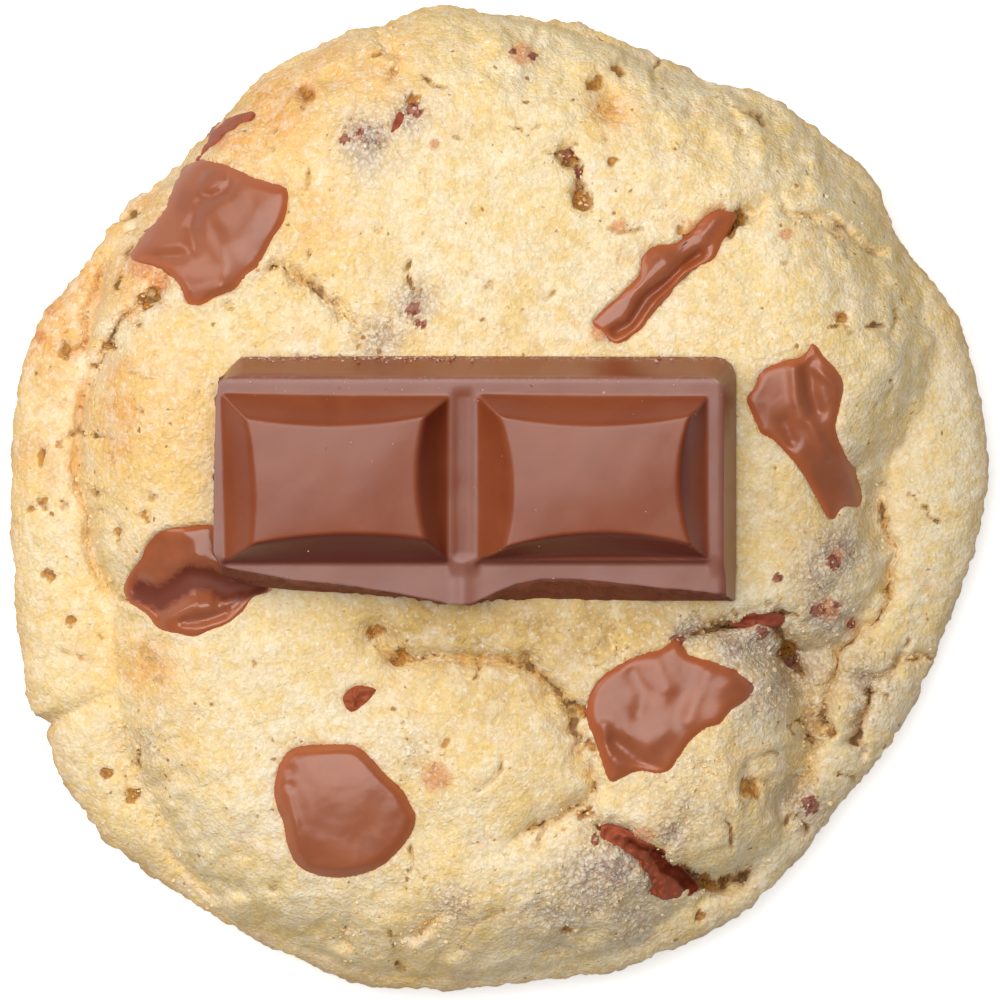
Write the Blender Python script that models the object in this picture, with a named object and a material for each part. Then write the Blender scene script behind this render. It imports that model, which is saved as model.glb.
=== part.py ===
"""A large soft-baked cookie with pockets of melted milk chocolate, and a two-square piece of bar on top.

The cookie is a puffed dome of dough that has slumped over a lower skirt, with a fold where the two
meet, cracks across the top, and pockets that hold the chocolate chunks. Its origin is under its middle,
on the surface that it lies on. +Z is up, and +Y points to the side that the bar's moulded edge faces.

Shapes are worked out in millimetres and become metres when their points are written.
"""

import math
from dataclasses import dataclass

import bmesh
import bpy
import numpy as np
from mathutils import Matrix

METRES = 0.001

# The cookie's height at its rim, its skirt and its dome
RIM_HEIGHT = 3.6
SKIRT_HEIGHT = 9.4
SKIRT_SHOULDER = 7.5
DOME_FOOT = 4.2
DOME_HEIGHT = 20.0
DOME_SHOULDER = 11.0
DOME_CENTRE = (-2.0, 2.0)
DOME_FALL = 0.0022
UNDERCUT = 2.4
MERGE_REACH = 0.9

# How the sphere's latitudes are shared out between the top, the side and the underside, in degrees
RIM_COLATITUDE = 112.0
BASE_COLATITUDE = 140.0
RIM_CROWDING = 1.25

# The piece of bar
BAR_CENTRE = (-2.0, 2.0)
BAR_LEAN = math.radians(6.0)
BAR_SEAT = 19.3
SLAB_THICKNESS = 5.8
SQUARE_RISE = 2.9
SQUARE_CENTRES = ((-15.30, 2.50), (8.80, 2.40))
SQUARE_FOOT = (21.2, 15.3)
SQUARE_TOP = (16.9, 11.6)
SQUARE_TOP_BOW = 0.85
SQUARE_ROOT = 0.3
SIDE_STEPS = 6

GAP = 0.3
COOKIE_TRIANGLES = 8200
SPHERE_LEVELS = 7

# The cookie's outline from above, counter-clockwise from its right
COOKIE_OUTLINE = (
    (46.4, 2.0), (45.9, 8.5), (44.3, 14.8), (42.5, 18.6), (39.4, 22.6), (37.3, 25.8),
    (35.4, 30.0), (32.8, 32.8), (29.5, 35.6), (25.0, 38.4), (20.0, 39.6), (15.0, 42.0),
    (10.0, 44.2), (6.0, 45.0), (0.0, 45.8), (-5.5, 46.5), (-10.0, 45.2), (-14.5, 44.2),
    (-18.8, 42.3), (-23.0, 39.3), (-26.0, 36.0), (-31.0, 31.2), (-36.0, 26.5), (-38.5, 23.0),
    (-40.8, 19.9), (-43.4, 17.0), (-45.2, 12.0), (-46.0, 7.0), (-46.3, 0.5), (-46.1, -7.0),
    (-45.2, -14.0), (-44.3, -19.8), (-42.4, -22.0), (-41.4, -26.0), (-37.5, -32.0),
    (-33.0, -35.6), (-28.5, -38.8), (-23.0, -41.4), (-18.5, -43.8), (-12.0, -46.0),
    (-5.0, -46.5), (2.0, -46.1), (7.0, -45.2), (11.0, -44.6), (17.0, -42.4), (23.0, -39.2),
    (28.0, -34.4), (33.0, -28.2), (37.5, -22.7), (40.2, -17.5), (42.8, -10.8), (45.2, -4.5),
)

# Where the dome's side leaves the skirt
DOME_OUTLINE = (
    (36.2, 1.0), (38.8, 6.0), (41.0, 12.0), (40.2, 18.0), (37.3, 23.4), (34.4, 28.4),
    (30.8, 33.0), (26.0, 36.8), (20.0, 39.0), (15.0, 41.0), (8.5, 43.6), (2.0, 45.2),
    (-5.5, 46.0), (-10.0, 44.8), (-15.5, 43.3), (-20.5, 40.4), (-24.5, 37.2), (-28.2, 33.4),
    (-32.2, 29.0), (-35.0, 25.4), (-37.4, 21.6), (-38.8, 17.0), (-39.6, 12.5), (-40.2, 6.0),
    (-40.2, 0.0), (-39.4, -5.0), (-37.8, -10.0), (-37.2, -16.0), (-36.6, -21.0),
    (-35.0, -26.0), (-32.6, -31.0), (-29.6, -35.6), (-25.0, -39.4), (-18.0, -43.0),
    (-10.0, -45.2), (-3.0, -45.5), (3.5, -44.9), (9.0, -43.8), (14.0, -41.9), (18.0, -39.4),
    (21.5, -36.6), (24.6, -35.0), (27.2, -32.0), (27.2, -29.4), (28.7, -26.4), (29.7, -22.5),
    (28.9, -18.6), (28.0, -15.6), (30.8, -14.4), (34.4, -12.6), (36.6, -8.8), (37.0, -5.0),
)


@dataclass(frozen=True)
class Fold:
    """A fold or crack in the crust: its line, its depth, and its reach to the left and to the right."""

    line: tuple
    depth: float
    left: float
    right: float


@dataclass(frozen=True)
class Swell:
    """A soft rise or hollow in the dome: its middle, its half-widths and its height."""

    middle: tuple
    reach: tuple
    height: float


@dataclass(frozen=True)
class Chunk:
    """A piece of chocolate set in the crust: its outline from above, how proud it stands, how deep it sits."""

    name: str
    outline: tuple
    proud: float
    sink: float
    segments: int = 24
    rings: int = 9


FOLDS = (
    # the fold between dome and skirt, upper left, left and lower left
    Fold(((-31.0, 20.8), (-33.5, 18.4), (-36.0, 16.2), (-37.5, 13.5), (-39.0, 10.5),
          (-39.9, 6.0), (-40.0, 1.0), (-39.3, -4.0), (-38.0, -8.0), (-36.6, -12.0)), 1.3, 1.1, 1.1),
    Fold(((-37.2, 22.8), (-38.5, 19.4), (-38.9, 16.0), (-39.8, 13.4), (-41.6, 12.0)), 0.9, 0.8, 0.8),
    Fold(((-36.2, -21.0), (-34.8, -26.0), (-32.6, -30.6), (-30.0, -34.8), (-27.0, -38.0)), 1.0, 1.2, 1.2),
    # the crack under the bar, which runs on down between the two southern lobes
    Fold(((-12.0, -11.0), (-11.3, -13.2), (-9.8, -14.6), (-7.5, -15.2), (-4.0, -14.9),
          (0.0, -15.0), (3.0, -15.9), (4.9, -17.6), (6.2, -19.3), (6.8, -21.2), (7.4, -23.0),
          (8.6, -24.8), (8.9, -26.8), (7.8, -28.9), (6.0, -30.2), (3.5, -30.8), (1.0, -32.0)),
         1.7, 1.1, 1.3),
    # the open crack with chocolate in it, lower right
    Fold(((8.0, -30.4), (11.5, -31.7), (13.5, -32.9), (15.3, -34.2), (17.0, -35.6),
          (19.0, -36.5), (21.5, -36.2), (24.5, -35.0)), 2.6, 1.0, 1.2),
    # the crack over the lower right lobe, and the split that crosses it
    Fold(((16.5, -13.2), (18.6, -12.4), (20.8, -12.1), (23.0, -11.6), (25.5, -11.3),
          (27.2, -12.8), (27.5, -15.0), (28.4, -17.6)), 1.3, 0.8, 0.8),
    Fold(((21.5, -10.4), (20.9, -12.0), (20.2, -13.8)), 1.2, 0.5, 0.5),
    # the long crack, upper right, and the fold that follows it
    Fold(((10.3, 15.3), (12.5, 17.0), (14.5, 19.3), (16.8, 21.0), (19.0, 23.0), (20.8, 25.0),
          (22.8, 26.4), (25.2, 27.9)), 1.4, 0.8, 0.9),
    Fold(((26.2, 28.3), (27.6, 26.6), (30.5, 26.4), (33.6, 24.8), (36.4, 22.3)), 1.1, 0.9, 1.0),
    Fold(((-22.8, 20.4), (-20.4, 21.8), (-17.0, 19.6), (-14.8, 17.4), (-11.8, 15.6)), 0.6, 0.6, 0.6),
    # the right fold and the broken crags below it
    Fold(((36.1, 1.0), (36.1, -2.0), (37.0, -5.5), (36.8, -8.3), (35.6, -11.0), (33.8, -13.2),
          (31.7, -14.6), (31.4, -17.2), (30.7, -19.6), (30.0, -22.0), (29.8, -25.0)), 1.3, 0.9, 0.9),
    Fold(((36.0, -17.0), (34.8, -18.4), (34.0, -20.5), (33.6, -22.8), (34.4, -25.0)), 1.1, 0.7, 0.7),
    Fold(((41.5, -14.6), (38.0, -15.0), (36.4, -16.8), (33.0, -17.4)), 0.8, 0.6, 0.6),
    # small cracks near the top edge
    Fold(((5.9, 33.2), (7.0, 31.0), (7.8, 28.4)), 0.9, 0.7, 0.7),
    Fold(((-10.6, 44.8), (-11.2, 43.0), (-9.5, 41.2), (-9.6, 39.6)), 0.7, 0.6, 0.6),
)

SWELLS = (
    Swell((-1.5, -24.5), (8.0, 6.5), 1.3),
    Swell((20.0, -21.0), (8.5, 7.5), 1.5),
    Swell((20.0, -31.0), (7.0, 4.0), 1.0),
    Swell((4.0, -38.0), (9.0, 4.5), 0.9),
    Swell((-32.0, 7.0), (6.0, 9.0), 0.9),
    Swell((29.0, 15.0), (8.0, 8.0), 0.9),
    Swell((20.0, 33.0), (9.0, 5.0), 0.7),
    Swell((-16.0, 33.0), (9.0, 7.0), 0.8),
    Swell((10.5, 36.5), (2.6, 3.2), -0.7),
    Swell((33.0, -15.8), (2.0, 1.5), 0.9),
    Swell((32.4, -20.6), (1.6, 2.4), 0.9),
    Swell((-33.0, -16.0), (2.6, 2.6), -0.7),
)

CHUNKS = (
    Chunk("chunk_north_west", (
        (-27.5, 32.0), (-29.4, 31.2), (-30.6, 29.0), (-32.2, 26.4), (-34.6, 23.0), (-33.0, 21.8),
        (-31.2, 21.0), (-30.2, 19.0), (-28.4, 17.8), (-26.0, 18.7), (-23.6, 20.3), (-21.6, 22.6),
        (-20.0, 25.6), (-19.4, 28.4), (-21.4, 29.8), (-24.4, 31.0)), 0.7, 3.2),
    Chunk("chunk_south_west", (
        (-16.5, -22.9), (-19.0, -23.3), (-20.8, -25.2), (-21.3, -27.4), (-20.6, -30.0),
        (-20.0, -33.0), (-18.2, -35.3), (-15.0, -35.8), (-11.4, -35.0), (-9.0, -33.0),
        (-7.6, -30.2), (-8.6, -27.8), (-10.8, -25.4), (-13.0, -23.2)), 0.9, 3.4),
    Chunk("chunk_east", (
        (29.4, 14.7), (27.6, 13.4), (24.6, 12.2), (23.4, 9.2), (24.2, 6.4), (27.0, 4.2),
        (29.0, 1.2), (30.4, -1.6), (31.4, -2.4), (32.6, -1.2), (34.3, -0.4), (33.6, 3.0),
        (32.2, 6.2), (32.6, 9.6), (31.6, 12.6)), 0.7, 3.4),
    Chunk("chunk_south_east", (
        (16.8, -13.2), (13.0, -14.6), (9.6, -16.6), (8.2, -19.6), (8.8, -22.8), (10.4, -26.7),
        (12.6, -26.0), (15.0, -26.0), (17.2, -24.4), (19.0, -22.0), (21.4, -21.2), (24.3, -17.6),
        (22.0, -15.8), (19.2, -14.8)), 0.7, 3.6),
    Chunk("chunk_north_east", (
        (8.5, 16.4), (10.6, 15.0), (12.8, 15.6), (15.2, 18.0), (17.4, 20.6), (20.2, 22.4),
        (22.4, 26.4), (20.6, 27.4), (18.4, 25.6), (14.6, 24.0), (12.8, 21.2)), 0.1, 3.0),
    Chunk("chunk_west", (
        (-26.6, -2.2), (-30.0, -2.3), (-33.2, -4.0), (-35.3, -8.6), (-33.2, -11.0), (-30.6, -12.8),
        (-27.2, -12.6), (-24.2, -10.8), (-21.6, -8.8), (-23.6, -5.0)), 0.2, 3.4),
    Chunk("chunk_south", (
        (9.6, -30.9), (12.4, -30.9), (15.4, -33.2), (18.2, -36.2), (16.6, -37.8), (14.2, -37.2),
        (12.0, -33.6), (10.0, -32.6)), -0.6, 2.6, 20, 8),
    Chunk("chip_north_west", (
        (-28.4, 32.9), (-26.4, 35.3), (-23.4, 36.6), (-23.2, 35.8), (-25.0, 34.6), (-27.0, 33.0)),
        0.1, 1.6, 14, 6),
    Chunk("chip_north", ((-10.4, 34.4), (-9.4, 34.4), (-8.7, 36.0), (-9.8, 36.8)), 0.1, 1.6, 12, 6),
    Chunk("chip_south_west", (
        (-14.8, -18.6), (-14.0, -20.2), (-12.6, -19.4), (-11.3, -17.9), (-13.4, -17.5)),
        0.3, 1.6, 14, 6),
    Chunk("chip_south_east", (
        (21.8, -11.9), (24.6, -12.2), (26.8, -11.8), (26.4, -10.8), (23.6, -10.7)), -0.2, 1.5, 14, 6),
)

# The bar piece's outline at its flat base and at its slab's top: moulded above and at the right,
# where the sides flare, and snapped at the left and below, where they don't
BAR_BASE_OUTLINE = (
    (-25.2, 13.4), (20.6, 13.6), (21.9, 13.1), (22.4, 11.8), (22.4, -9.2), (20.0, -9.6),
    (15.0, -9.5), (10.0, -9.4), (5.0, -9.3), (1.0, -9.3), (-2.4, -9.5), (-4.6, -9.6), (-8.0, -9.2),
    (-14.0, -8.4), (-20.0, -7.8), (-25.4, -7.0), (-25.8, -6.0), (-25.6, 6.0),
)
BAR_TOP_OUTLINE = (
    (-26.4, 12.2), (20.0, 12.5), (20.9, 12.1), (21.2, 11.2), (21.2, -8.4), (20.0, -8.1),
    (15.0, -7.5), (10.0, -7.1), (5.0, -6.9), (1.0, -7.7), (-2.4, -9.3), (-4.6, -9.3), (-8.0, -8.6),
    (-14.0, -7.4), (-20.0, -6.6), (-25.8, -5.4), (-26.8, -4.8), (-26.7, 6.0),
)


def closed_curve(points, steps=8):
    """A smooth closed curve through the points, as an array of places along it."""
    points = np.array(points, float)
    before, after, beyond = (np.roll(points, shift, 0) for shift in (1, -1, -2))
    spans = []
    for t in np.arange(steps) / steps:
        spans.append(0.5 * (
            2 * points + (after - before) * t
            + (2 * before - 5 * points + 4 * after - beyond) * t**2
            + (3 * points - before - 3 * after + beyond) * t**3))
    return np.stack(spans, axis=1).reshape(-1, 2)


class Outline:
    """A closed outline as a radius for each direction from a point inside it."""

    def __init__(self, points, centre=(0.0, 0.0)):
        self.centre = centre
        offsets = closed_curve(points) - centre
        angles = np.arctan2(offsets[:, 1], offsets[:, 0])
        order = np.argsort(angles)
        self.angles = angles[order]
        self.radii = np.hypot(offsets[:, 0], offsets[:, 1])[order]

    def radius(self, angle):
        return np.interp(angle, self.angles, self.radii, period=2 * math.pi)

    def inside(self, x, y):
        """How far each place lies inside the outline, along its own radius."""
        dx, dy = x - self.centre[0], y - self.centre[1]
        return self.radius(np.arctan2(dy, dx)) - np.hypot(dx, dy)


def lattice_value(cells, seed):
    """A repeatable number from 0 to 1 for each whole-numbered cell."""
    mixed = cells[..., 0] * 374761393 + cells[..., 1] * 668265263 + cells[..., 2] * 2147483647 + seed * 974634777
    mixed = (mixed ^ (mixed >> 13)) * 1274126177
    return ((mixed ^ (mixed >> 16)) & 0xFFFF) / 0xFFFF


def rough(places, cell, seed):
    """Smooth random relief from -1 to 1, with features about one cell wide."""
    scaled = places / cell
    low = np.floor(scaled).astype(np.int64)
    share = scaled - low
    share = share * share * (3 - 2 * share)
    total = np.zeros(len(places))
    for corner in np.ndindex(2, 2, 2):
        weight = np.prod(np.where(np.array(corner) == 1, share, 1 - share), axis=1)
        total += weight * lattice_value(low + np.array(corner), seed)
    return 2 * total - 1


def shoulder(depth_in, width):
    """A quarter ellipse: 0 at the edge, rising steeply and levelling at 1 once width further in."""
    t = np.clip(depth_in / width, 0, 1)
    return np.sqrt(1 - (1 - t) ** 2)


def smooth_max(a, b, reach):
    """The larger of two heights, rounded where they cross."""
    share = np.clip(0.5 + 0.5 * (a - b) / reach, 0, 1)
    return b + (a - b) * share + reach * share * (1 - share)


def line_distance(x, y, line):
    """The distance to a bent line, on which side each place lies, and how near it is to an end."""
    best = np.full(len(x), np.inf)
    side = np.ones(len(x))
    along = np.zeros(len(x))
    points = np.array(line, float)
    lengths = np.hypot(*np.diff(points, axis=0).T)
    start = 0.0
    for (ax, ay), (bx, by), length in zip(points[:-1], points[1:], lengths):
        ux, uy = (bx - ax) / length, (by - ay) / length
        t = np.clip((x - ax) * ux + (y - ay) * uy, 0, length)
        dx, dy = x - ax - t * ux, y - ay - t * uy
        distance = np.hypot(dx, dy)
        nearer = distance < best
        best = np.where(nearer, distance, best)
        side = np.where(nearer, np.sign(ux * dy - uy * dx), side)
        along = np.where(nearer, start + t, along)
        start += length
    from_end = np.minimum(along, start - along)
    return best, side, from_end


COOKIE = Outline(COOKIE_OUTLINE)
DOME = Outline(DOME_OUTLINE)


def calm_height(x, y):
    """The height of the crust without its folds: the skirt, and the dome that has slumped over it."""
    skirt = RIM_HEIGHT + (SKIRT_HEIGHT - RIM_HEIGHT) * shoulder(COOKIE.inside(x, y), SKIRT_SHOULDER)
    dx, dy = x - DOME_CENTRE[0], y - DOME_CENTRE[1]
    seat_slope = math.tan(BAR_LEAN) * dy * np.exp(-(dy / 20.0) ** 2)
    crown = DOME_HEIGHT + seat_slope - DOME_FALL * (dx * dx + dy * dy)
    inside = DOME.inside(x, y)
    dome = DOME_FOOT + (crown - DOME_FOOT) * shoulder(inside, DOME_SHOULDER)
    dome = np.where(inside < 0, DOME_FOOT + 3 * inside, dome)
    height = smooth_max(skirt, dome, MERGE_REACH)
    for swell in SWELLS:
        reach = ((x - swell.middle[0]) / swell.reach[0]) ** 2 + ((y - swell.middle[1]) / swell.reach[1]) ** 2
        height += swell.height * np.exp(-reach)
    return height


def crust_height(x, y):
    """The height of the crust with its folds, cracks and lumps."""
    flat = np.stack([x, y, np.zeros(len(x))], axis=1)
    height = calm_height(x, y)
    ragged_x = x + 0.35 * rough(flat, 1.6, 11)
    ragged_y = y + 0.35 * rough(flat, 1.6, 12)
    for fold in FOLDS:
        distance, side, from_end = line_distance(ragged_x, ragged_y, fold.line)
        reach = np.where(side > 0, fold.left, fold.right)
        fade = np.clip(0.25 + from_end / 3.0, 0, 1)
        height -= fold.depth * fade * np.exp(-((distance / reach) ** 1.4))
    rim_fade = np.clip(COOKIE.inside(x, y) / 3.0, 0, 1)
    height += rim_fade * (0.35 * rough(flat, 6.0, 1) + 0.22 * rough(flat, 2.8, 2))
    return height


def new_object(name, bm, material):
    """A mesh object from a bmesh in millimetres, shaded smooth but for its sharp edges."""
    bmesh.ops.scale(bm, vec=(METRES, METRES, METRES), verts=bm.verts)
    bmesh.ops.recalc_face_normals(bm, faces=bm.faces)
    mesh = bpy.data.meshes.new(name)
    bm.to_mesh(mesh)
    bm.free()
    mesh.shade_smooth()
    mesh.set_sharp_from_angle(angle=math.radians(32))
    obj = bpy.data.objects.new(name, mesh)
    bpy.context.scene.collection.objects.link(obj)
    mesh.materials.append(material)
    return obj


def new_material(name, colour, roughness):
    """A plain finish in one colour."""
    material = bpy.data.materials.new(name)
    material.use_nodes = True
    shader = material.node_tree.nodes["Principled BSDF"]
    shader.inputs["Base Color"].default_value = (*colour, 1.0)
    shader.inputs["Roughness"].default_value = roughness
    shader.inputs["Metallic"].default_value = 0.0
    return material


def as_cutter(obj):
    """Keeps a helper out of the model and shows it as wire."""
    obj.hide_render = True
    obj.display_type = "WIRE"
    return obj


def cut(target, cutter):
    """Cuts one object out of another."""
    boolean = target.modifiers.new("pocket for " + cutter.name, "BOOLEAN")
    boolean.operation = "DIFFERENCE"
    boolean.solver = "EXACT"
    boolean.object = cutter


def make_cookie(material):
    """The dough: a fine sphere laid out as top, side and flat underside, then thinned out."""
    bm = bmesh.new()
    bmesh.ops.create_icosphere(bm, subdivisions=SPHERE_LEVELS, radius=1.0)
    places = np.array([v.co for v in bm.verts])
    angle = np.arctan2(places[:, 1], places[:, 0])
    colatitude = np.arccos(np.clip(places[:, 2], -1, 1))
    rim, base = math.radians(RIM_COLATITUDE), math.radians(BASE_COLATITUDE)
    radius = COOKIE.radius(angle)

    share = np.clip(np.sin(colatitude / 2) / math.sin(rim / 2), 0, 1)
    top_reach = radius * (1 - (1 - share) ** RIM_CROWDING)
    turn = np.clip((colatitude - rim) / (base - rim), 0, 1) * math.pi / 2
    side_reach = radius - UNDERCUT * (1 - np.cos(turn))
    under_reach = (radius - UNDERCUT) * np.clip((math.pi - colatitude) / (math.pi - base), 0, 1)

    on_top, underneath = colatitude <= rim, colatitude >= base
    reach = np.where(on_top, top_reach, np.where(underneath, under_reach, side_reach))
    x, y = reach * np.cos(angle), reach * np.sin(angle)
    side_height = RIM_HEIGHT * (1 - np.sin(turn))
    z = np.where(on_top, crust_height(x, y), np.where(underneath, 0.0, side_height))
    for vertex, place in zip(bm.verts, np.stack([x, y, z], axis=1)):
        vertex.co = place
    triangles = len(bm.faces)
    cookie = new_object("cookie", bm, material)
    thin_out = cookie.modifiers.new("thin out", "DECIMATE")
    thin_out.ratio = COOKIE_TRIANGLES / triangles
    return cookie


def make_chunk(chunk, material, grow=0.0, headroom=0.0):
    """A melted chunk that follows the crust, or the pocket that it sits in when grown.

    The sphere's rings become rings of the chunk: its edge lies in the crust, its top a little proud.
    """
    bm = bmesh.new()
    bmesh.ops.create_uvsphere(bm, u_segments=chunk.segments, v_segments=chunk.rings, radius=1.0)
    places = np.array([v.co for v in bm.verts])
    outline = Outline(chunk.outline, tuple(np.mean(chunk.outline, axis=0)))
    angle = np.arctan2(places[:, 1], places[:, 0])
    up = places[:, 2]
    fullness = np.clip(1 - up * up, 0, 1) ** 0.28
    reach = fullness * (outline.radius(angle) + grow)
    x = outline.centre[0] + reach * np.cos(angle)
    y = outline.centre[1] + reach * np.sin(angle)
    rise = np.where(up > 0, (chunk.proud + headroom) * up, (chunk.sink + grow) * up)
    z = calm_height(x, y) - 0.3 + rise
    for vertex, place in zip(bm.verts, np.stack([x, y, z], axis=1)):
        vertex.co = place
    return new_object(chunk.name, bm, material)


def add_loop(bm, points, height):
    """A ring of edges at one height."""
    ring = [bm.verts.new((x, y, height)) for x, y in points]
    return [bm.edges.new((a, b)) for a, b in zip(ring, ring[1:] + ring[:1])]


def add_prism(bm, low_points, low, high_points, high):
    """A closed solid between two outlines that have the same number of points."""
    below, above = add_loop(bm, low_points, low), add_loop(bm, high_points, high)
    bmesh.ops.bridge_loops(bm, edges=below + above)
    bmesh.ops.contextual_create(bm, geom=below)
    bmesh.ops.contextual_create(bm, geom=above)


def square_loop(centre, size, bow):
    """A rectangle's outline whose sides bow inwards by the given amount at their middles."""
    half_x, half_y = size[0] / 2, size[1] / 2
    points = []
    for step in range(4 * SIDE_STEPS):
        side, t = divmod(step, SIDE_STEPS)
        t = t / SIDE_STEPS
        sag = bow * 4 * t * (1 - t)
        x, y = ((half_x * (2 * t - 1), -half_y + sag), (half_x - sag, half_y * (2 * t - 1)),
                (half_x * (1 - 2 * t), half_y - sag), (-half_x + sag, half_y * (1 - 2 * t)))[side]
        points.append((centre[0] + x, centre[1] + y))
    return points


def seat_bar(obj):
    """Leans a piece that was made flat, and sets it on the crown of the cookie."""
    lean = Matrix.Rotation(BAR_LEAN, 4, "X")
    to_centre = Matrix.Translation((0.0, -BAR_CENTRE[1] * METRES, 0.0))
    back = Matrix.Translation((0.0, BAR_CENTRE[1] * METRES, BAR_SEAT * METRES))
    obj.data.transform(back @ lean @ to_centre)
    return obj


def make_bar_piece(material):
    """Two squares of moulded chocolate on one slab, snapped off a bar along two of its sides."""
    bm = bmesh.new()
    add_prism(bm, BAR_BASE_OUTLINE, GAP, BAR_TOP_OUTLINE, SLAB_THICKNESS + GAP)
    piece = seat_bar(new_object("bar_piece", bm, material))
    for number, centre in enumerate(SQUARE_CENTRES):
        bm = bmesh.new()
        add_prism(bm, square_loop(centre, SQUARE_FOOT, 0.0), SLAB_THICKNESS + GAP - SQUARE_ROOT,
                  square_loop(centre, SQUARE_TOP, SQUARE_TOP_BOW), SLAB_THICKNESS + SQUARE_RISE + GAP)
        square = as_cutter(seat_bar(new_object(f"square_{number}", bm, material)))
        join = piece.modifiers.new(f"join square {number}", "BOOLEAN")
        join.operation = "UNION"
        join.solver = "EXACT"
        join.object = square
    return piece


def make_bar_clearance(material):
    """The room that the bar piece needs, a little wider than its base and a little lower."""
    centre = np.mean(BAR_BASE_OUTLINE, axis=0)
    grown = []
    for point in np.array(BAR_BASE_OUTLINE):
        offset = point - centre
        grown.append(tuple(centre + offset * (1 + 1.5 * GAP / np.hypot(*offset))))
    bm = bmesh.new()
    add_prism(bm, grown, 0.0, grown, 2.5 * SLAB_THICKNESS)
    return as_cutter(seat_bar(new_object("bar_clearance", bm, material)))


def main():
    for old in list(bpy.data.objects):
        bpy.data.objects.remove(old)
    dough = new_material("baked dough", (0.76, 0.57, 0.30), 0.85)
    chocolate = new_material("melted chocolate", (0.27, 0.10, 0.045), 0.3)
    moulded = new_material("moulded chocolate", (0.25, 0.10, 0.05), 0.35)

    cookie = make_cookie(dough)
    make_bar_piece(moulded)
    clearance = make_bar_clearance(moulded)
    cut(cookie, clearance)
    for chunk in CHUNKS:
        piece = make_chunk(chunk, chocolate)
        pocket = make_chunk(chunk, chocolate, grow=GAP, headroom=5.0)
        pocket.name = "pocket_" + chunk.name
        cut(cookie, as_cutter(pocket))
        cut(piece, clearance)


main()
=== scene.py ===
"""The looks of a large soft-baked chocolate chip cookie with a snapped piece of bar chocolate lying on it.

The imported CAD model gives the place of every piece. The dough, the melted chunks and the bar piece are
each modelled again with their real relief, and crumbs, sugar and shavings are scattered over them.

Shapes are worked out in millimetres, in the CAD model's own frame, and become metres when a mesh is made.
"""

import logging
import math
from collections.abc import Callable
from dataclasses import dataclass, field
from enum import Enum

import bmesh
import bpy
import numpy as np
from mathutils import Matrix, Vector, noise
from mathutils.bvhtree import BVHTree
from mathutils.kdtree import KDTree


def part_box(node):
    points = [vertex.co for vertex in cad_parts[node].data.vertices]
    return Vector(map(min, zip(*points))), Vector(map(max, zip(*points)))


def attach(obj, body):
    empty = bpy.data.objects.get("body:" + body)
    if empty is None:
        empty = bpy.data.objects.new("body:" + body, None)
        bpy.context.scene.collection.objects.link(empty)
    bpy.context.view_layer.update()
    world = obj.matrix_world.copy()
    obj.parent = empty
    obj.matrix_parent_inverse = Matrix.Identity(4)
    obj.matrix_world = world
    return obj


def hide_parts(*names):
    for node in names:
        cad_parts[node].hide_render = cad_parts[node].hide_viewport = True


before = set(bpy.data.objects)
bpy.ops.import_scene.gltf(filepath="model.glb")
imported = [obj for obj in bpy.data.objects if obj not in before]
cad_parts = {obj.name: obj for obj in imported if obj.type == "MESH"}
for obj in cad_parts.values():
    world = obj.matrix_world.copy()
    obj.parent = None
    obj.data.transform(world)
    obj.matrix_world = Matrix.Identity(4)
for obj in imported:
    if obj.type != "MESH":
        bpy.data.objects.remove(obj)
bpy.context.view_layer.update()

log = logging.getLogger("cookie")

METRES = 0.001

# A place seen from above, a line of them, a colour, and a lump's place and scale with what draws it.
Place = tuple[float, float]
Line = tuple[Place, ...]
Colour = tuple[float, float, float]
Spot = tuple[float, float, float]
Chooser = Callable[[np.random.Generator], Spot]
Socket = bpy.types.NodeSocket


# Outlines and lines of the dough.

COOKIE_OUTLINE: Line = (
    (46.4, 2.0), (45.9, 8.5), (44.3, 14.8), (42.5, 18.6), (39.4, 22.6), (37.3, 25.8),
    (35.4, 30.0), (32.8, 32.8), (29.5, 35.6), (25.0, 38.4), (20.0, 39.6), (15.0, 42.0),
    (10.0, 44.2), (6.0, 45.0), (0.0, 45.8), (-5.5, 46.5), (-10.0, 45.2), (-14.5, 44.2),
    (-18.8, 42.3), (-23.0, 39.3), (-26.0, 36.0), (-31.0, 31.2), (-36.0, 26.5), (-38.5, 23.0),
    (-40.8, 19.9), (-43.4, 17.0), (-45.2, 12.0), (-46.0, 7.0), (-46.3, 0.5), (-46.1, -7.0),
    (-45.2, -14.0), (-44.3, -19.8), (-43.4, -20.7), (-42.2, -21.2), (-42.6, -22.6), (-41.4, -26.0),
    (-37.5, -32.0), (-33.0, -35.6), (-28.5, -38.8), (-23.0, -41.4), (-18.5, -43.8), (-12.0, -46.0),
    (-5.0, -46.5), (2.0, -46.1), (7.0, -45.2), (11.0, -44.6), (17.0, -42.4), (23.0, -39.2),
    (28.0, -34.4), (33.0, -28.2), (37.5, -22.7), (40.2, -17.5), (42.8, -10.8), (45.2, -4.5),
)

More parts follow.
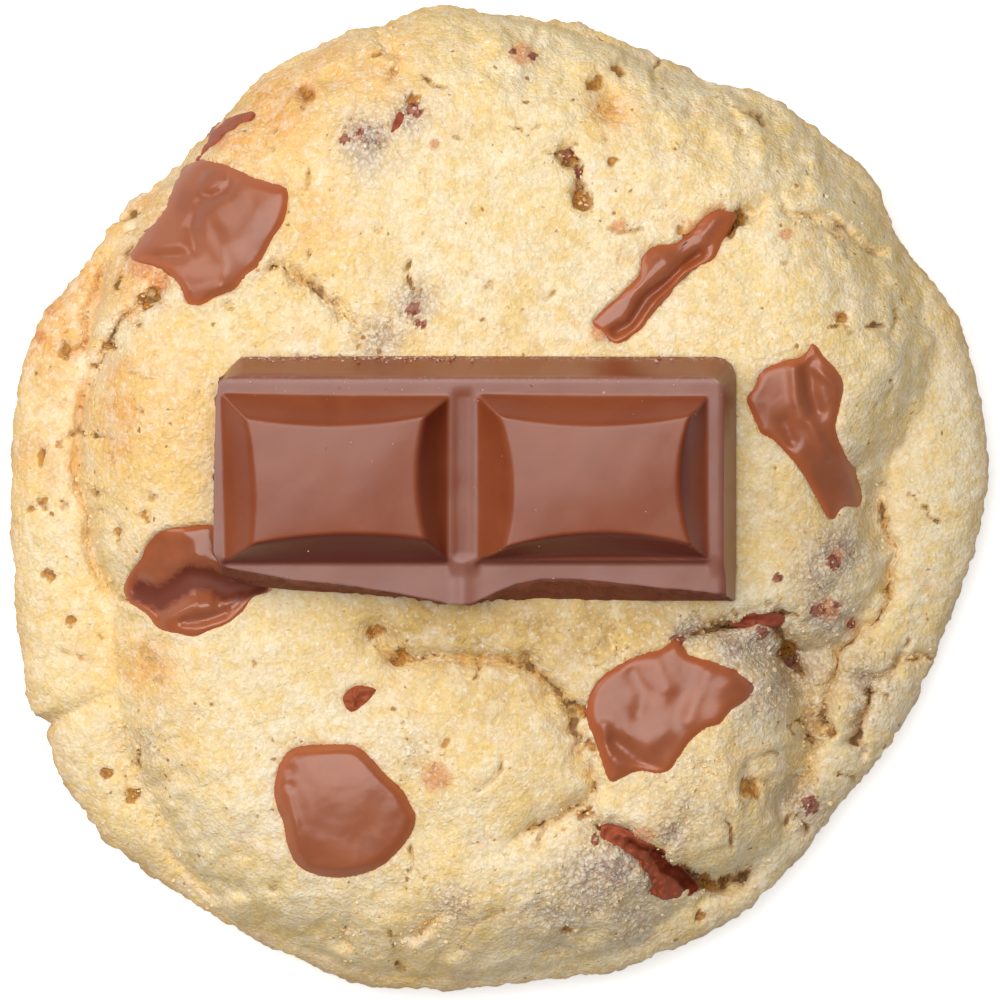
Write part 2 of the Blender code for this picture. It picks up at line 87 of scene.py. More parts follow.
DOME_OUTLINE: Line = (
    (36.2, 1.0), (38.8, 6.0), (41.0, 12.0), (40.2, 18.0), (37.3, 23.4), (34.4, 28.4),
    (30.8, 33.0), (26.0, 36.8), (20.0, 39.0), (15.0, 41.0), (8.5, 43.6), (2.0, 45.2),
    (-5.5, 46.0), (-10.0, 44.8), (-15.5, 43.3), (-20.5, 40.4), (-24.5, 37.2), (-28.2, 33.4),
    (-32.2, 29.0), (-35.0, 25.4), (-37.4, 21.6), (-38.8, 17.0), (-39.6, 12.5), (-40.2, 6.0),
    (-40.2, 0.0), (-39.4, -5.0), (-37.8, -10.0), (-37.2, -16.0), (-36.6, -21.0),
    (-35.0, -26.0), (-32.6, -31.0), (-29.6, -35.6), (-25.0, -39.4), (-18.0, -43.0),
    (-10.0, -45.2), (-3.0, -45.5), (3.5, -44.9), (9.0, -43.8), (14.0, -41.9), (18.0, -39.4),
    (21.5, -36.6), (24.6, -35.0), (27.2, -32.0), (27.2, -29.4), (28.7, -26.4), (29.7, -22.5),
    (28.9, -18.6), (28.0, -15.6), (30.8, -14.4), (34.4, -12.6), (36.6, -8.8), (37.0, -5.0),
)


@dataclass(frozen=True)
class Crease:
    """A fold or crack in the crust: its line, its depth, its reach to each side, and its bottom's cut."""

    line: Line
    depth: float
    left: float
    right: float
    cut: float = 0.5


@dataclass(frozen=True)
class Swell:
    """A soft rise or hollow in the dome: its middle, its half-widths and its height."""

    middle: Place
    reach: Place
    height: float


@dataclass(frozen=True)
class Patch:
    """A patch of colour or a small pit in the crust: its middle, its reach and its strength."""

    middle: Place
    reach: float
    strength: float = 1.0


def patch_table(*rows: tuple[float, ...]) -> tuple[Patch, ...]:
    """Patches from rows of x, y, reach and, where it isn't 1, strength."""
    return tuple(Patch((x, y), *rest) for x, y, *rest in rows)


CREASES: tuple[Crease, ...] = (
    Crease(((-30.9, 21.2), (-31.4, 20.6), (-33.0, 18.6), (-35.1, 17.2), (-35.9, 15.7), (-36.9, 13.9),
            (-38.4, 11.5)), 1.7, 1.1, 0.9, 0.70),
    Crease(((-36.6, 13.7), (-38.0, 11.9), (-39.1, 9.5), (-39.4, 7.0), (-39.7, 4.5), (-39.9, 1.9),
            (-39.0, -0.4), (-38.6, -1.9), (-38.6, -4.0), (-38.4, -5.5), (-37.2, -7.8), (-35.6, -9.5)),
           1.5, 0.6, 0.35, 0.45),
    Crease(((-36.6, 23.0), (-38.0, 19.6), (-38.7, 17.0), (-38.7, 14.8), (-40.2, 12.9)), 1.2, 0.8, 0.35, 0.50),
    Crease(((-36.2, -21.0), (-34.8, -26.0), (-32.6, -30.6), (-30.0, -34.8), (-27.0, -38.0)),
           0.8, 1.2, 1.2, 0.2),
    Crease(((-12.0, -11.0), (-11.3, -13.2), (-9.8, -14.6), (-7.5, -15.2), (-4.0, -14.9),
            (0.0, -15.0), (3.0, -15.9), (4.9, -17.6), (6.2, -19.3), (6.8, -21.2), (7.4, -23.0),
            (8.6, -24.8), (8.9, -26.8), (7.8, -28.9), (6.0, -30.2), (3.5, -30.8), (1.0, -32.0)),
           1.5, 1.1, 1.3, 0.7),
    Crease(((8.0, -30.4), (11.5, -31.7), (13.5, -32.9), (15.3, -34.2), (17.0, -35.6),
            (19.0, -36.5), (21.5, -36.2), (24.5, -35.0)), 2.4, 0.9, 1.1, 0.9),
    Crease(((16.5, -13.2), (18.6, -12.4), (20.8, -12.1), (23.0, -11.6), (25.5, -11.3),
            (27.2, -12.8), (27.5, -15.0), (28.4, -17.6)), 1.3, 0.8, 0.8, 1.0),
    Crease(((21.5, -10.4), (20.9, -12.0), (20.2, -13.8)), 1.2, 0.5, 0.5, 0.9),
    Crease(((10.3, 15.3), (12.5, 17.0), (14.5, 19.3), (16.8, 21.0), (19.0, 23.0), (20.8, 25.0),
            (22.8, 26.4), (25.2, 27.9)), 1.5, 0.9, 1.0, 0.7),
    Crease(((26.2, 28.3), (27.6, 26.6), (30.5, 26.4), (33.6, 24.8), (36.4, 22.3)), 1.1, 0.9, 1.1, 0.60),
    Crease(((-22.8, 20.4), (-20.4, 21.8), (-17.0, 19.6), (-14.8, 17.4), (-11.8, 15.6)), 0.6, 0.5, 0.5, 0.72),
    Crease(((36.1, 1.0), (36.1, -2.0), (37.0, -5.5), (36.8, -8.3), (35.6, -11.0), (33.8, -13.2),
            (31.7, -14.6), (31.4, -17.2), (30.7, -19.6), (30.0, -22.0), (29.8, -25.0)), 1.3, 0.8, 0.8, 0.7),
    Crease(((36.0, -17.0), (34.8, -18.4), (34.0, -20.5), (33.6, -22.8), (34.4, -25.0)), 1.2, 0.6, 0.6, 0.9),
    Crease(((28.2, -16.4), (28.9, -18.6), (29.6, -21.0), (29.8, -23.6), (29.0, -26.2), (27.6, -28.4),
            (27.0, -30.6)), 1.4, 0.6, 0.7, 0.60),
    Crease(((41.5, -14.6), (38.0, -15.0), (36.4, -16.8), (33.0, -17.4)), 0.9, 0.5, 0.5, 0.7),
    Crease(((5.9, 33.2), (7.0, 31.0), (7.8, 28.4), (8.4, 26.6)), 1.2, 0.7, 0.7, 0.95),
    Crease(((-10.6, 44.8), (-11.2, 43.0), (-9.5, 41.2), (-9.6, 39.6)), 0.7, 0.5, 0.5, 0.6),
    Crease(((-13.5, -38.5), (-14.5, -41.5), (-13.5, -43.5)), 0.6, 0.5, 0.5, 0.5),
    Crease(((-9.5, -42.0), (-7.5, -41.0), (-6.0, -39.5), (-5.0, -38.5)), 0.6, 0.5, 0.5, 0.5),
    Crease(((10.4, -12.1), (10.7, -13.8), (11.0, -15.5)), 0.5, 0.3, 0.3, 0.4),
    Crease(((17.6, -24.0), (18.8, -25.3), (20.2, -26.4)), 0.5, 0.3, 0.3, 0.4),
)

SWELLS: tuple[Swell, ...] = (
    Swell((-1.5, -24.5), (8.0, 6.5), 1.3),
    Swell((20.0, -21.0), (8.5, 7.5), 1.5),
    Swell((20.0, -31.0), (7.0, 4.0), 1.0),
    Swell((4.0, -38.0), (9.0, 4.5), 0.9),
    Swell((-32.0, 7.0), (6.0, 9.0), 0.9),
    Swell((29.0, 15.0), (8.0, 8.0), 0.9),
    Swell((20.0, 33.0), (9.0, 5.0), 0.7),
    Swell((-16.0, 33.0), (9.0, 7.0), 0.8),
    Swell((10.5, 36.5), (2.6, 3.2), -0.7),
    Swell((33.0, -15.8), (2.0, 1.5), 0.9),
    Swell((32.4, -20.6), (1.6, 2.4), 0.9),
    Swell((-33.0, -16.0), (2.6, 2.6), -0.7),
)

PITS: tuple[Patch, ...] = patch_table(
    (9.0, 39.0, 0.8), (11.5, 40.3, 0.6), (11.0, 31.8, 0.6), (7.8, 28.0, 0.9), (6.7, 32.0, 0.8),
    (-18.1, 38.1, 0.9, 1.0), (-33.3, -14.2, 0.9, 0.5), (-32.2, -17.0, 0.8, 0.5), (-42.5, -7.0, 0.7),
    (-40.5, -11.5, 0.6), (-36.0, -3.5, 0.6), (-34.5, -27.7, 0.6), (-37.0, -26.0, 0.6),
    (24.0, -27.2, 1.2, 0.95), (32.5, 17.0, 0.5), (-43.3, 4.0, 0.6), (19.4, -36.0, 0.8),
    (19.1, -39.2, 0.5), (22.3, 26.0, 0.6), (11.1, 15.5, 0.7), (-8.1, 37.5, 0.7), (27.3, -14.5, 0.9),
    (10.5, 36.5, 1.0, 0.5), (-32.5, -15.5, 1.2, 0.5), (-9.8, 39.9, 0.8, 0.6), (6.4, -40.7, 0.5),
    (-11.8, -12.6, 0.9, 0.9), (-9.2, -14.8, 0.9, 0.8), (7.6, -19.8, 0.7), (8.7, -23.4, 0.9),
    (8.1, -29.4, 0.8), (-33.4, 18.5, 0.6), (-37.1, 14.0, 0.5), (31.0, -22.0, 0.6), (-11.6, 41.8, 0.5),
    (-40.8, 14.0, 0.9), (-42.8, -0.6, 0.6, 0.8), (-44.2, -1.2, 0.5, 0.8), (-40.9, -0.9, 0.7, 0.6),
    (21.8, 25.5, 0.9), (22.7, 26.5, 0.8), (17.3, 25.2, 0.7, 0.8), (-25.5, -5.5, 0.4),
    (-33.5, -1.6, 0.4), (-34.2, 16.6, 0.5), (-36.2, 14.4, 0.5), (-37.6, 12.4, 0.4, 0.8),
    (-32.2, 19.4, 0.4, 0.8),
)

STAINS: tuple[Patch, ...] = patch_table(
    (-12.5, 33.6, 2.6, 0.9), (-8.5, 36.0, 2.0, 0.7), (-8.0, 18.4, 2.2, 0.8), (-11.0, 15.0, 2.4, 0.7),
    (18.0, -12.6, 2.0, 0.8), (24.5, -13.6, 3.0, 0.8), (11.0, -34.6, 3.2, 0.9), (14.5, -36.0, 2.4, 0.8),
    (32.0, -5.0, 2.6, 0.8), (31.0, -11.0, 2.6, 0.8), (-33.0, -23.0, 2.0, 0.35), (28.5, -28.5, 2.4, 0.7),
    (-4.0, -38.0, 2.2, 0.5), (24.0, -18.5, 3.4, 0.5), (7.5, -38.0, 3.4, 0.5), (17.0, -29.0, 3.6, 0.35),
    (-8.0, -24.0, 3.0, 0.25), (16.4, -31.4, 1.6, 0.9), (34.0, -17.0, 3.4, 0.45),
    (29.0, -15.5, 2.6, 0.6), (9.0, -35.8, 4.0, 0.8), (5.5, -38.8, 3.4, 0.6), (12.5, -39.5, 2.8, 0.6),
    (22.0, -13.8, 2.6, 0.8), (26.5, -17.5, 2.4, 0.6), (30.0, -7.5, 2.2, 0.7),
)

TOASTED: tuple[Patch, ...] = patch_table(
    (-21.0, 37.0, 4.6, 0.9), (-24.5, 33.5, 3.6, 0.8), (-36.5, 9.0, 4.0, 0.55), (-43.0, 15.0, 4.6, 0.9),
    (-34.5, 20.5, 4.2, 0.8), (-17.5, 26.5, 4.0, 0.35), (-44.0, 4.0, 4.0, 0.5), (-12.0, 40.0, 5.0, 0.45),
    (10.6, 36.4, 2.0, 0.9), (-33.0, -15.8, 2.8, 0.9), (-39.0, 21.5, 3.4, 0.8), (-35.4, 8.2, 2.4, 0.9),
    (-35.8, 5.0, 2.2, 0.7), (-35.6, 11.4, 2.4, 0.8), (-34.0, 9.0, 2.6, 0.5), (-34.2, 20.2, 1.8, 0.8),
    (-41.5, 18.5, 2.6, 0.9), (-33.5, 28.0, 3.0, 0.7), (-33.0, 12.0, 5.0, 0.35), (-16.0, 40.5, 3.6, 0.7),
    (-22.0, 30.0, 3.0, 0.4), (-28.0, 36.5, 3.6, 0.6), (-36.5, 26.0, 3.4, 0.6), (-40.5, 10.0, 3.0, 0.4),
)

PALE: tuple[Patch, ...] = patch_table(
    (-36.0, 15.5, 1.8, 0.9), (-33.0, 18.0, 1.6, 0.8), (-38.6, 12.0, 1.8, 0.8), (-41.0, 7.0, 2.0, 0.5),
    (-30.5, 19.0, 1.4, 0.7), (-12.0, 30.0, 5.0, 0.5), (-22.0, -26.0, 3.0, 0.5),
    (-12.0, -21.0, 3.5, 0.4), (22.0, 27.0, 4.0, 0.4), (12.5, 26.0, 4.0, 0.4), (13.0, -29.3, 2.0, 0.7),
    (36.0, -23.0, 4.0, 0.5), (32.0, -30.0, 4.0, 0.4), (26.0, -36.0, 4.0, 0.5), (-39.0, -22.0, 3.0, 0.5),
)

# Painted shadow: darker ochre patches where the bar's shadow falls on the dough below it, and two darker
# patches at the right.
PAINTED_SHADE_PATCHES: tuple[Patch, ...] = patch_table(
    (-12.5, -11.0, 2.6, 0.6), (-8.0, -11.8, 3.2, 0.9), (-3.0, -12.8, 3.6, 1.0), (3.0, -12.8, 3.6, 1.0),
    (8.5, -12.8, 3.4, 0.9), (13.5, -12.0, 3.0, 0.8), (-1.0, -18.0, 4.0, 0.5), (-6.0, -15.5, 2.4, 0.7),
    (4.5, -17.5, 2.0, 0.7), (6.0, -17.0, 3.0, 0.5), (29.0, -3.0, 3.0, 0.4), (27.5, -16.0, 2.4, 0.5),
)

WARM: tuple[Patch, ...] = patch_table(
    (-33.0, 5.0, 9.0, 1.0), (-17.5, 27.0, 6.5, 0.8), (-36.0, -12.0, 6.0, 0.4),
    (-30.0, -20.0, 6.0, 0.35), (-1.0, -14.0, 7.0, 0.45), (-20.0, 34.0, 7.0, 0.7),
    (2.0, -25.0, 6.0, 0.35), (-40.0, 14.0, 8.0, 0.6), (11.0, 36.0, 3.0, 0.6), (-6.0, -40.0, 7.0, 0.3),
    (22.0, -26.0, 5.0, 0.35), (-12.0, 41.0, 6.0, 0.5),
)

RUSTY: tuple[Patch, ...] = patch_table(
    (-33.6, 21.8, 1.5, 1.0), (-31.8, 20.3, 1.3, 0.9), (-43.2, 15.2, 0.8, 0.9), (-42.2, 17.8, 0.7, 0.8),
    (-40.0, 13.6, 1.0, 0.5), (-5.8, -26.2, 1.8, 0.9), (-6.0, 33.3, 0.6), (11.3, 25.5, 0.9),
    (-18.1, 38.1, 1.2), (31.0, -10.4, 1.6, 0.8), (33.2, -11.8, 1.0, 0.8), (31.8, -5.4, 0.9),
    (18.6, 25.0, 2.0, 0.8), (20.6, 26.6, 1.6, 0.8), (9.4, 15.6, 1.0), (13.6, -31.6, 1.4, 0.8),
    (-26.4, 34.0, 1.5, 0.8), (27.0, 24.8, 0.8), (2.3, 41.8, 1.3), (-8.1, 37.5, 0.7, 0.7),
    (-2.0, 21.0, 0.5, 0.7), (19.4, -36.0, 0.9, 0.7), (31.9, 17.2, 0.6, 0.8), (-2.2, -31.0, 1.4, 0.35),
)

FLECKS: tuple[Patch, ...] = patch_table(
    (-14.5, 33.8, 0.6), (-13.0, 34.3, 0.5), (-8.0, 36.5, 0.8), (-8.0, 17.7, 0.8), (6.5, 32.2, 0.7),
    (31.5, -6.0, 0.8), (30.0, -10.5, 0.7), (33.0, -11.7, 0.6), (29.3, -28.8, 0.9), (16.8, -13.5, 0.8),
    (27.5, -15.3, 0.7), (26.2, -7.4, 0.5), (31.8, -10.0, 0.5), (7.4, 30.6, 0.5), (-7.3, 16.4, 0.5),
    (1.4, 42.0, 0.4), (3.2, 41.6, 0.5), (24.8, -12.6, 0.6), (9.0, -32.0, 0.5),
)


# Shapes by formula.


def flat_places(x: np.ndarray, y: np.ndarray) -> np.ndarray:
    """Places at height 0, one row of x, y, z each."""
    return np.stack([x, y, np.zeros(len(x))], axis=1)


def closed_curve(points: Line, steps: int = 8) -> np.ndarray:
    """Rounds a closed outline.

    Args:
        points: The outline's points, in order.
        steps: How many places each stretch gets.

    Returns:
        The places along a smooth closed curve through the points, one row each.
    """
    middle = np.array(points, float)
    before, after, beyond = (np.roll(middle, shift, 0) for shift in (1, -1, -2))
    spans = [
        0.5 * (2 * middle + (after - before) * t + (2 * before - 5 * middle + 4 * after - beyond) * t**2
               + (3 * middle - before - 3 * after + beyond) * t**3)
        for t in np.arange(steps) / steps
    ]
    return np.stack(spans, axis=1).reshape(-1, 2)


class Outline:
    """A closed outline as a radius for each direction from a point inside it."""

    def __init__(self, points: Line, centre: Place = (0.0, 0.0)) -> None:
        """Reads the outline.

        Args:
            points: The outline's points, in order.
            centre: A place inside it that sees all of it.
        """
        self.centre = centre
        self.curve = closed_curve(points)
        offsets = self.curve - centre
        angles = np.arctan2(offsets[:, 1], offsets[:, 0])
        order = np.argsort(angles)
        self.angles = angles[order]
        self.radii = np.hypot(offsets[:, 0], offsets[:, 1])[order]

    def radius(self, angle: np.ndarray) -> np.ndarray:
        """The outline's distance from its centre in each direction."""
        return np.interp(angle, self.angles, self.radii, period=2 * math.pi)

    def inside(self, x: np.ndarray, y: np.ndarray) -> np.ndarray:
        """How far each place lies inside the outline, along its own radius."""
        dx, dy = x - self.centre[0], y - self.centre[1]
        return self.radius(np.arctan2(dy, dx)) - np.hypot(dx, dy)

    def depth(self, x: np.ndarray, y: np.ndarray) -> np.ndarray:
        """Measures places against the outline.

        Args:
            x: The places' first coordinates.
            y: Their second coordinates.

        Returns:
            The real distance of each place from the outline, above 0 inside it.
        """
        closed = tuple(map(tuple, np.vstack([self.curve[::2], self.curve[:1]])))
        distance, _, _ = line_distance(x, y, closed)
        return np.where(self.inside(x, y) > 0, distance, -distance)


def line_distance(x: np.ndarray, y: np.ndarray, line: Line) -> tuple[np.ndarray, np.ndarray, np.ndarray]:
    """Measures places against a bent line.

    Args:
        x: The places' first coordinates.
        y: The places' second coordinates.
        line: The line's points.

    Returns:
        The distance to the line, the side of it that each place is on (1 is left), and the distance
        along the line from its nearer end.
    """
    best = np.full(len(x), np.inf)
    side = np.ones(len(x))
    along = np.zeros(len(x))
    points = np.array(line, float)
    start = 0.0
    for (ax, ay), (bx, by) in zip(points[:-1], points[1:]):
        length = max(math.hypot(bx - ax, by - ay), 1e-6)
        ux, uy = (bx - ax) / length, (by - ay) / length
        t = np.clip((x - ax) * ux + (y - ay) * uy, 0, length)
        dx, dy = x - ax - t * ux, y - ay - t * uy
        distance = np.hypot(dx, dy)
        nearer = distance < best
        best = np.where(nearer, distance, best)
        side = np.where(nearer, np.sign(ux * dy - uy * dx), side)
        along = np.where(nearer, start + t, along)
        start += length
    return best, side, np.minimum(along, start - along)


def ramp(value: np.ndarray, low: float, high: float) -> np.ndarray:
    """Goes smoothly from 0 at low to 1 at high."""
    t = np.clip((value - low) / (high - low), 0, 1)
    return t * t * (3 - 2 * t)


def shoulder(depth_in: np.ndarray, width: float) -> np.ndarray:
    """A quarter ellipse: 0 at the edge, rising steeply and levelling at 1 once width further in."""
    t = np.clip(depth_in / width, 0, 1)
    return np.sqrt(1 - (1 - t) ** 2)


def smooth_max(a: np.ndarray, b: np.ndarray, reach: np.ndarray | float) -> np.ndarray:
    """The larger of two heights, rounded where they cross."""
    share = np.clip(0.5 + 0.5 * (a - b) / reach, 0, 1)
    return b + (a - b) * share + reach * share * (1 - share)


def smooth_min(a: np.ndarray, b: np.ndarray, reach: float) -> np.ndarray:
    """The smaller of two heights, rounded where they cross."""
    return -smooth_max(-a, -b, reach)


def uneven(places: np.ndarray, cell: float, seed: float, octaves: float = 2.0) -> np.ndarray:
    """Random relief.

    Args:
        places: One row of x, y, z for each place, in millimetres.
        cell: The size of its features, in millimetres.
        seed: Which relief it is.
        octaves: How many finer layers it has.

    Returns:
        A value for each place, most of them between -1 and 1.
    """
    turned = (places @ np.array(Matrix.Rotation(0.7 + seed, 3, (1, 2, 3)))) / cell + seed * 7.3
    return np.array([noise.fractal(place, 1.0, 2.1, octaves) for place in turned.tolist()]) * 1.4


def patches(x: np.ndarray, y: np.ndarray, spots: tuple[Patch, ...], tight: float = 2.0) -> np.ndarray:
    """Lays a set of patches over the crust.

    Args:
        x: The places' first coordinates.
        y: Their second coordinates.
        spots: The patches.
        tight: How firm their edges are.

    Returns:
        How strongly they cover each place, from 0 to 1.
    """
    cover = np.zeros(len(x))
    for spot in spots:
        distance = np.hypot(x - spot.middle[0], y - spot.middle[1]) / spot.reach
        cover = np.maximum(cover, spot.strength * np.exp(-distance**tight))
    return cover


@dataclass(frozen=True)
class Crust:
    """The form of the crust, the same as the CAD model's but with finer folds.

    A skirt rises from the rim, and a dome has slumped over it. Lengths are in millimetres. fold_power
    says how steep a fold's sides are, cut_reach how wide the cut in its bottom is, and crack_reach how
    far from its middle the crust is broken.
    """

    rim_height: float = 3.6
    skirt_height: float = 9.4
    skirt_shoulder: float = 7.5
    dome_foot: float = 4.2
    dome_height: float = 20.0
    dome_shoulder: float = 11.0
    dome_centre: Place = (-2.0, 2.0)
    dome_fall: float = 0.0022
    seat_lean: float = math.radians(6.0)
    seat_reach: float = 20.0
    fold_power: float = 1.4
    cut_reach: float = 0.38
    crack_reach: float = 1.3
    cookie: Outline = field(default_factory=lambda: Outline(COOKIE_OUTLINE))
    dome: Outline = field(default_factory=lambda: Outline(DOME_OUTLINE))

    def calm(self, x: np.ndarray, y: np.ndarray, ragged: np.ndarray | float = 0.0,
             merge: np.ndarray | float = 0.9) -> np.ndarray:
        """The crust's height without its cracks.

        Args:
            x: The places' first coordinates.
            y: The places' second coordinates.
            ragged: How much further out the dome's edge is pushed at each place.
            merge: How softly the dome meets the skirt.

        Returns:
            The height at each place.
        """
        skirt = self.rim_height + (self.skirt_height - self.rim_height) * shoulder(
            self.cookie.inside(x, y), self.skirt_shoulder)
        dx, dy = x - self.dome_centre[0], y - self.dome_centre[1]
        seat_slope = math.tan(self.seat_lean) * dy * np.exp(-(dy / self.seat_reach) ** 2)
        crown = self.dome_height + seat_slope - self.dome_fall * (dx * dx + dy * dy)
        inside = self.dome.inside(x, y) + ragged
        dome = self.dome_foot + (crown - self.dome_foot) * shoulder(inside, self.dome_shoulder)
        dome = np.where(inside < 0, self.dome_foot + 3 * inside, dome)
        height = smooth_max(skirt, dome, merge)
        for swell in SWELLS:
            off_x, off_y = x - swell.middle[0], y - swell.middle[1]
            height += swell.height * np.exp(-((off_x / swell.reach[0]) ** 2 + (off_y / swell.reach[1]) ** 2))
        return height

    def creased(self, x: np.ndarray, y: np.ndarray) -> tuple[np.ndarray, np.ndarray]:
        """The crust's height with its folds and cracks.

        Args:
            x: The places' first coordinates.
            y: The places' second coordinates.

        Returns:
            The height at each place, and how near to the middle of an open crack it is, from 0 to 1.
        """
        flat = flat_places(x, y)
        loose = 0.3 + 0.7 * ramp(x, -36.0, -28.0)
        wander_x = loose * (0.55 * uneven(flat, 2.6, 1.1) + 0.22 * uneven(flat, 0.9, 2.1))
        wander_y = loose * (0.55 * uneven(flat, 2.6, 3.1) + 0.22 * uneven(flat, 0.9, 4.1))
        ragged = loose * (0.7 * uneven(flat, 5.0, 5.1) + 0.35 * uneven(flat, 1.8, 6.1))
        edge_fade = np.clip(self.cookie.inside(x, y) / 3.0, 0, 1)
        on_right_flank = ramp(x, 22.0, 31.0) * ramp(y, -8.0, 1.0)
        merge = 0.55 + 3.2 * on_right_flank
        height = self.calm(x + 0.3 * wander_x, y + 0.3 * wander_y, ragged * edge_fade, merge)
        crack = np.zeros(len(x))
        for crease in CREASES:
            distance, side, from_end = line_distance(x + wander_x, y + wander_y, crease.line)
            reach = np.where(side > 0, crease.left, crease.right)
            fade = np.clip(0.2 + from_end / 2.5, 0, 1)
            height -= crease.depth * fade * np.exp(-((distance / reach) ** self.fold_power))
            height -= crease.cut * fade * np.exp(-((distance / self.cut_reach) ** 2))
            near = np.clip(1 - distance / self.crack_reach, 0, 1)
            crack = np.maximum(crack, fade * (0.2 + 0.8 * crease.cut) * near)
        return height, crack


# Meshes and their data.


def hang_wall(bm: bmesh.types.BMesh, rings: int) -> None:
    """Hangs a wall from a sheet's edge and closes it below.

    Args:
        bm: The sheet, which becomes a closed form.
        rings: How many rings the wall has, each 1 below the last.
    """
    rim = [edge for edge in bm.edges if edge.is_boundary]
    for _ in range(rings):
        made = bmesh.ops.extrude_edge_only(bm, edges=rim)["geom"]
        lowered = [part for part in made if isinstance(part, bmesh.types.BMVert)]
        bmesh.ops.translate(bm, verts=lowered, vec=(0, 0, -1))
        rim = [part for part in made if isinstance(part, bmesh.types.BMEdge) and part.is_boundary]
    bmesh.ops.contextual_create(bm, geom=rim)


def unit_disc(cells: int, rings: int) -> bmesh.types.BMesh:
    """A closed form to shape: a grid bent to a disc, a wall of rings hung from its edge, and a cap.

    Args:
        cells: How many cells the grid has along a side.
        rings: How many rings hang from the disc's edge.

    Returns:
        The form. Its top is the unit disc at height 0, ring n is the unit circle at height -n, and the cap
        closes the last ring.
    """
    bm = bmesh.new()
    bmesh.ops.create_grid(bm, x_segments=cells, y_segments=cells, size=1.0)
    for vertex in bm.verts:
        a, b = vertex.co.x, vertex.co.y
        if abs(a) < 1e-9 and abs(b) < 1e-9:
            continue
        if abs(a) > abs(b):
            reach, turn = a, math.pi / 4 * b / a
        else:
            reach, turn = b, math.pi / 2 - math.pi / 4 * a / b
        vertex.co = (reach * math.cos(turn), reach * math.sin(turn), 0.0)
    hang_wall(bm, rings)
    return bm


def round_the_disc(unit: np.ndarray) -> tuple[np.ndarray, np.ndarray]:
    """The direction of each place in a unit disc's form, and its distance from the axis, up to 1."""
    return np.arctan2(unit[:, 1], unit[:, 0]), np.clip(np.hypot(unit[:, 0], unit[:, 1]), 0, 1)


def finish_mesh(name: str, bm: bmesh.types.BMesh, sharp_degrees: float = 60.0) -> bpy.types.Object:
    """Makes an object of a closed form in millimetres.

    Args:
        name: The object's name.
        bm: The form, which is used up.
        sharp_degrees: Edges bent by more than this stay sharp.

    Returns:
        The object, at the origin, in metres, smooth and with its faces outwards.
    """
    bmesh.ops.scale(bm, vec=(METRES,) * 3, verts=bm.verts)
    bmesh.ops.recalc_face_normals(bm, faces=bm.faces)
    mesh = bpy.data.meshes.new(name)
    bm.to_mesh(mesh)
    bm.free()
    mesh.shade_smooth()
    mesh.set_sharp_from_angle(angle=math.radians(sharp_degrees))
    obj = bpy.data.objects.new(name, mesh)
    bpy.context.scene.collection.objects.link(obj)
    return obj


def vertex_places(mesh: bpy.types.Mesh) -> np.ndarray:
    """Reads the places of a mesh's vertices.

    Args:
        mesh: The mesh.

    Returns:
        Their places in millimetres, one row each.
    """
    flat = np.zeros(len(mesh.vertices) * 3)
    mesh.vertices.foreach_get("co", flat)
    return flat.reshape(-1, 3) / METRES


def move_vertices(mesh: bpy.types.Mesh, places: np.ndarray) -> None:
    """Moves a mesh's vertices to the places, given in millimetres."""
    mesh.vertices.foreach_set("co", (places * METRES).ravel())
    mesh.update()


def vertex_normals(mesh: bpy.types.Mesh) -> np.ndarray:
    """Reads the directions that a mesh's vertices face.

    Args:
        mesh: The mesh.

    Returns:
        Their directions, one row each.
    """
    flat = np.zeros(len(mesh.vertices) * 3)
    mesh.vertex_normals.foreach_get("vector", flat)
    return flat.reshape(-1, 3)


def paint(mesh: bpy.types.Mesh, **masks: np.ndarray) -> None:
    """Stores masks on a mesh's vertices for its material to read.

    Args:
        mesh: The mesh.
        **masks: A value from 0 to 1 for each vertex, under the mask's name.
    """
    for name, mask in masks.items():
        layer = mesh.attributes.new(name, "FLOAT", "POINT")
        layer.data.foreach_set("value", np.clip(mask, 0, 1).astype(np.float32))


def place_piece(obj: bpy.types.Object, slot: str, *nodes: str) -> None:
    """Lets a finished piece ride on the cookie and reports it.

    Args:
        obj: The piece.
        slot: Its material slot; not used.
        *nodes: The CAD nodes that it stands in for, if any.
    """
    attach(obj, "root")
    if nodes:
        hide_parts(*nodes)
    log.info("%s: %d faces", obj.name, len(obj.data.polygons))


# Finishes.


class Slot(Enum):
    """The material slots' names."""

    DOUGH = "baked_dough"
    MELTED = "melted_chocolate"
    MOULDED = "moulded_chocolate"


def colour(red: int, green: int, blue: int) -> Colour:
    """Turns a colour as a screen shows it into the linear light that shaders use.

    Args:
        red: How red it is, from 0 to 255.
        green: How green it is, from 0 to 255.
        blue: How blue it is, from 0 to 255.

    Returns:
        The colour, each part from 0 to 1.
    """
    levels = [level / 255 for level in (red, green, blue)]
    linear = [v / 12.92 if v <= 0.04045 else ((v + 0.055) / 1.055) ** 2.4 for v in levels]
    return (linear[0], linear[1], linear[2])


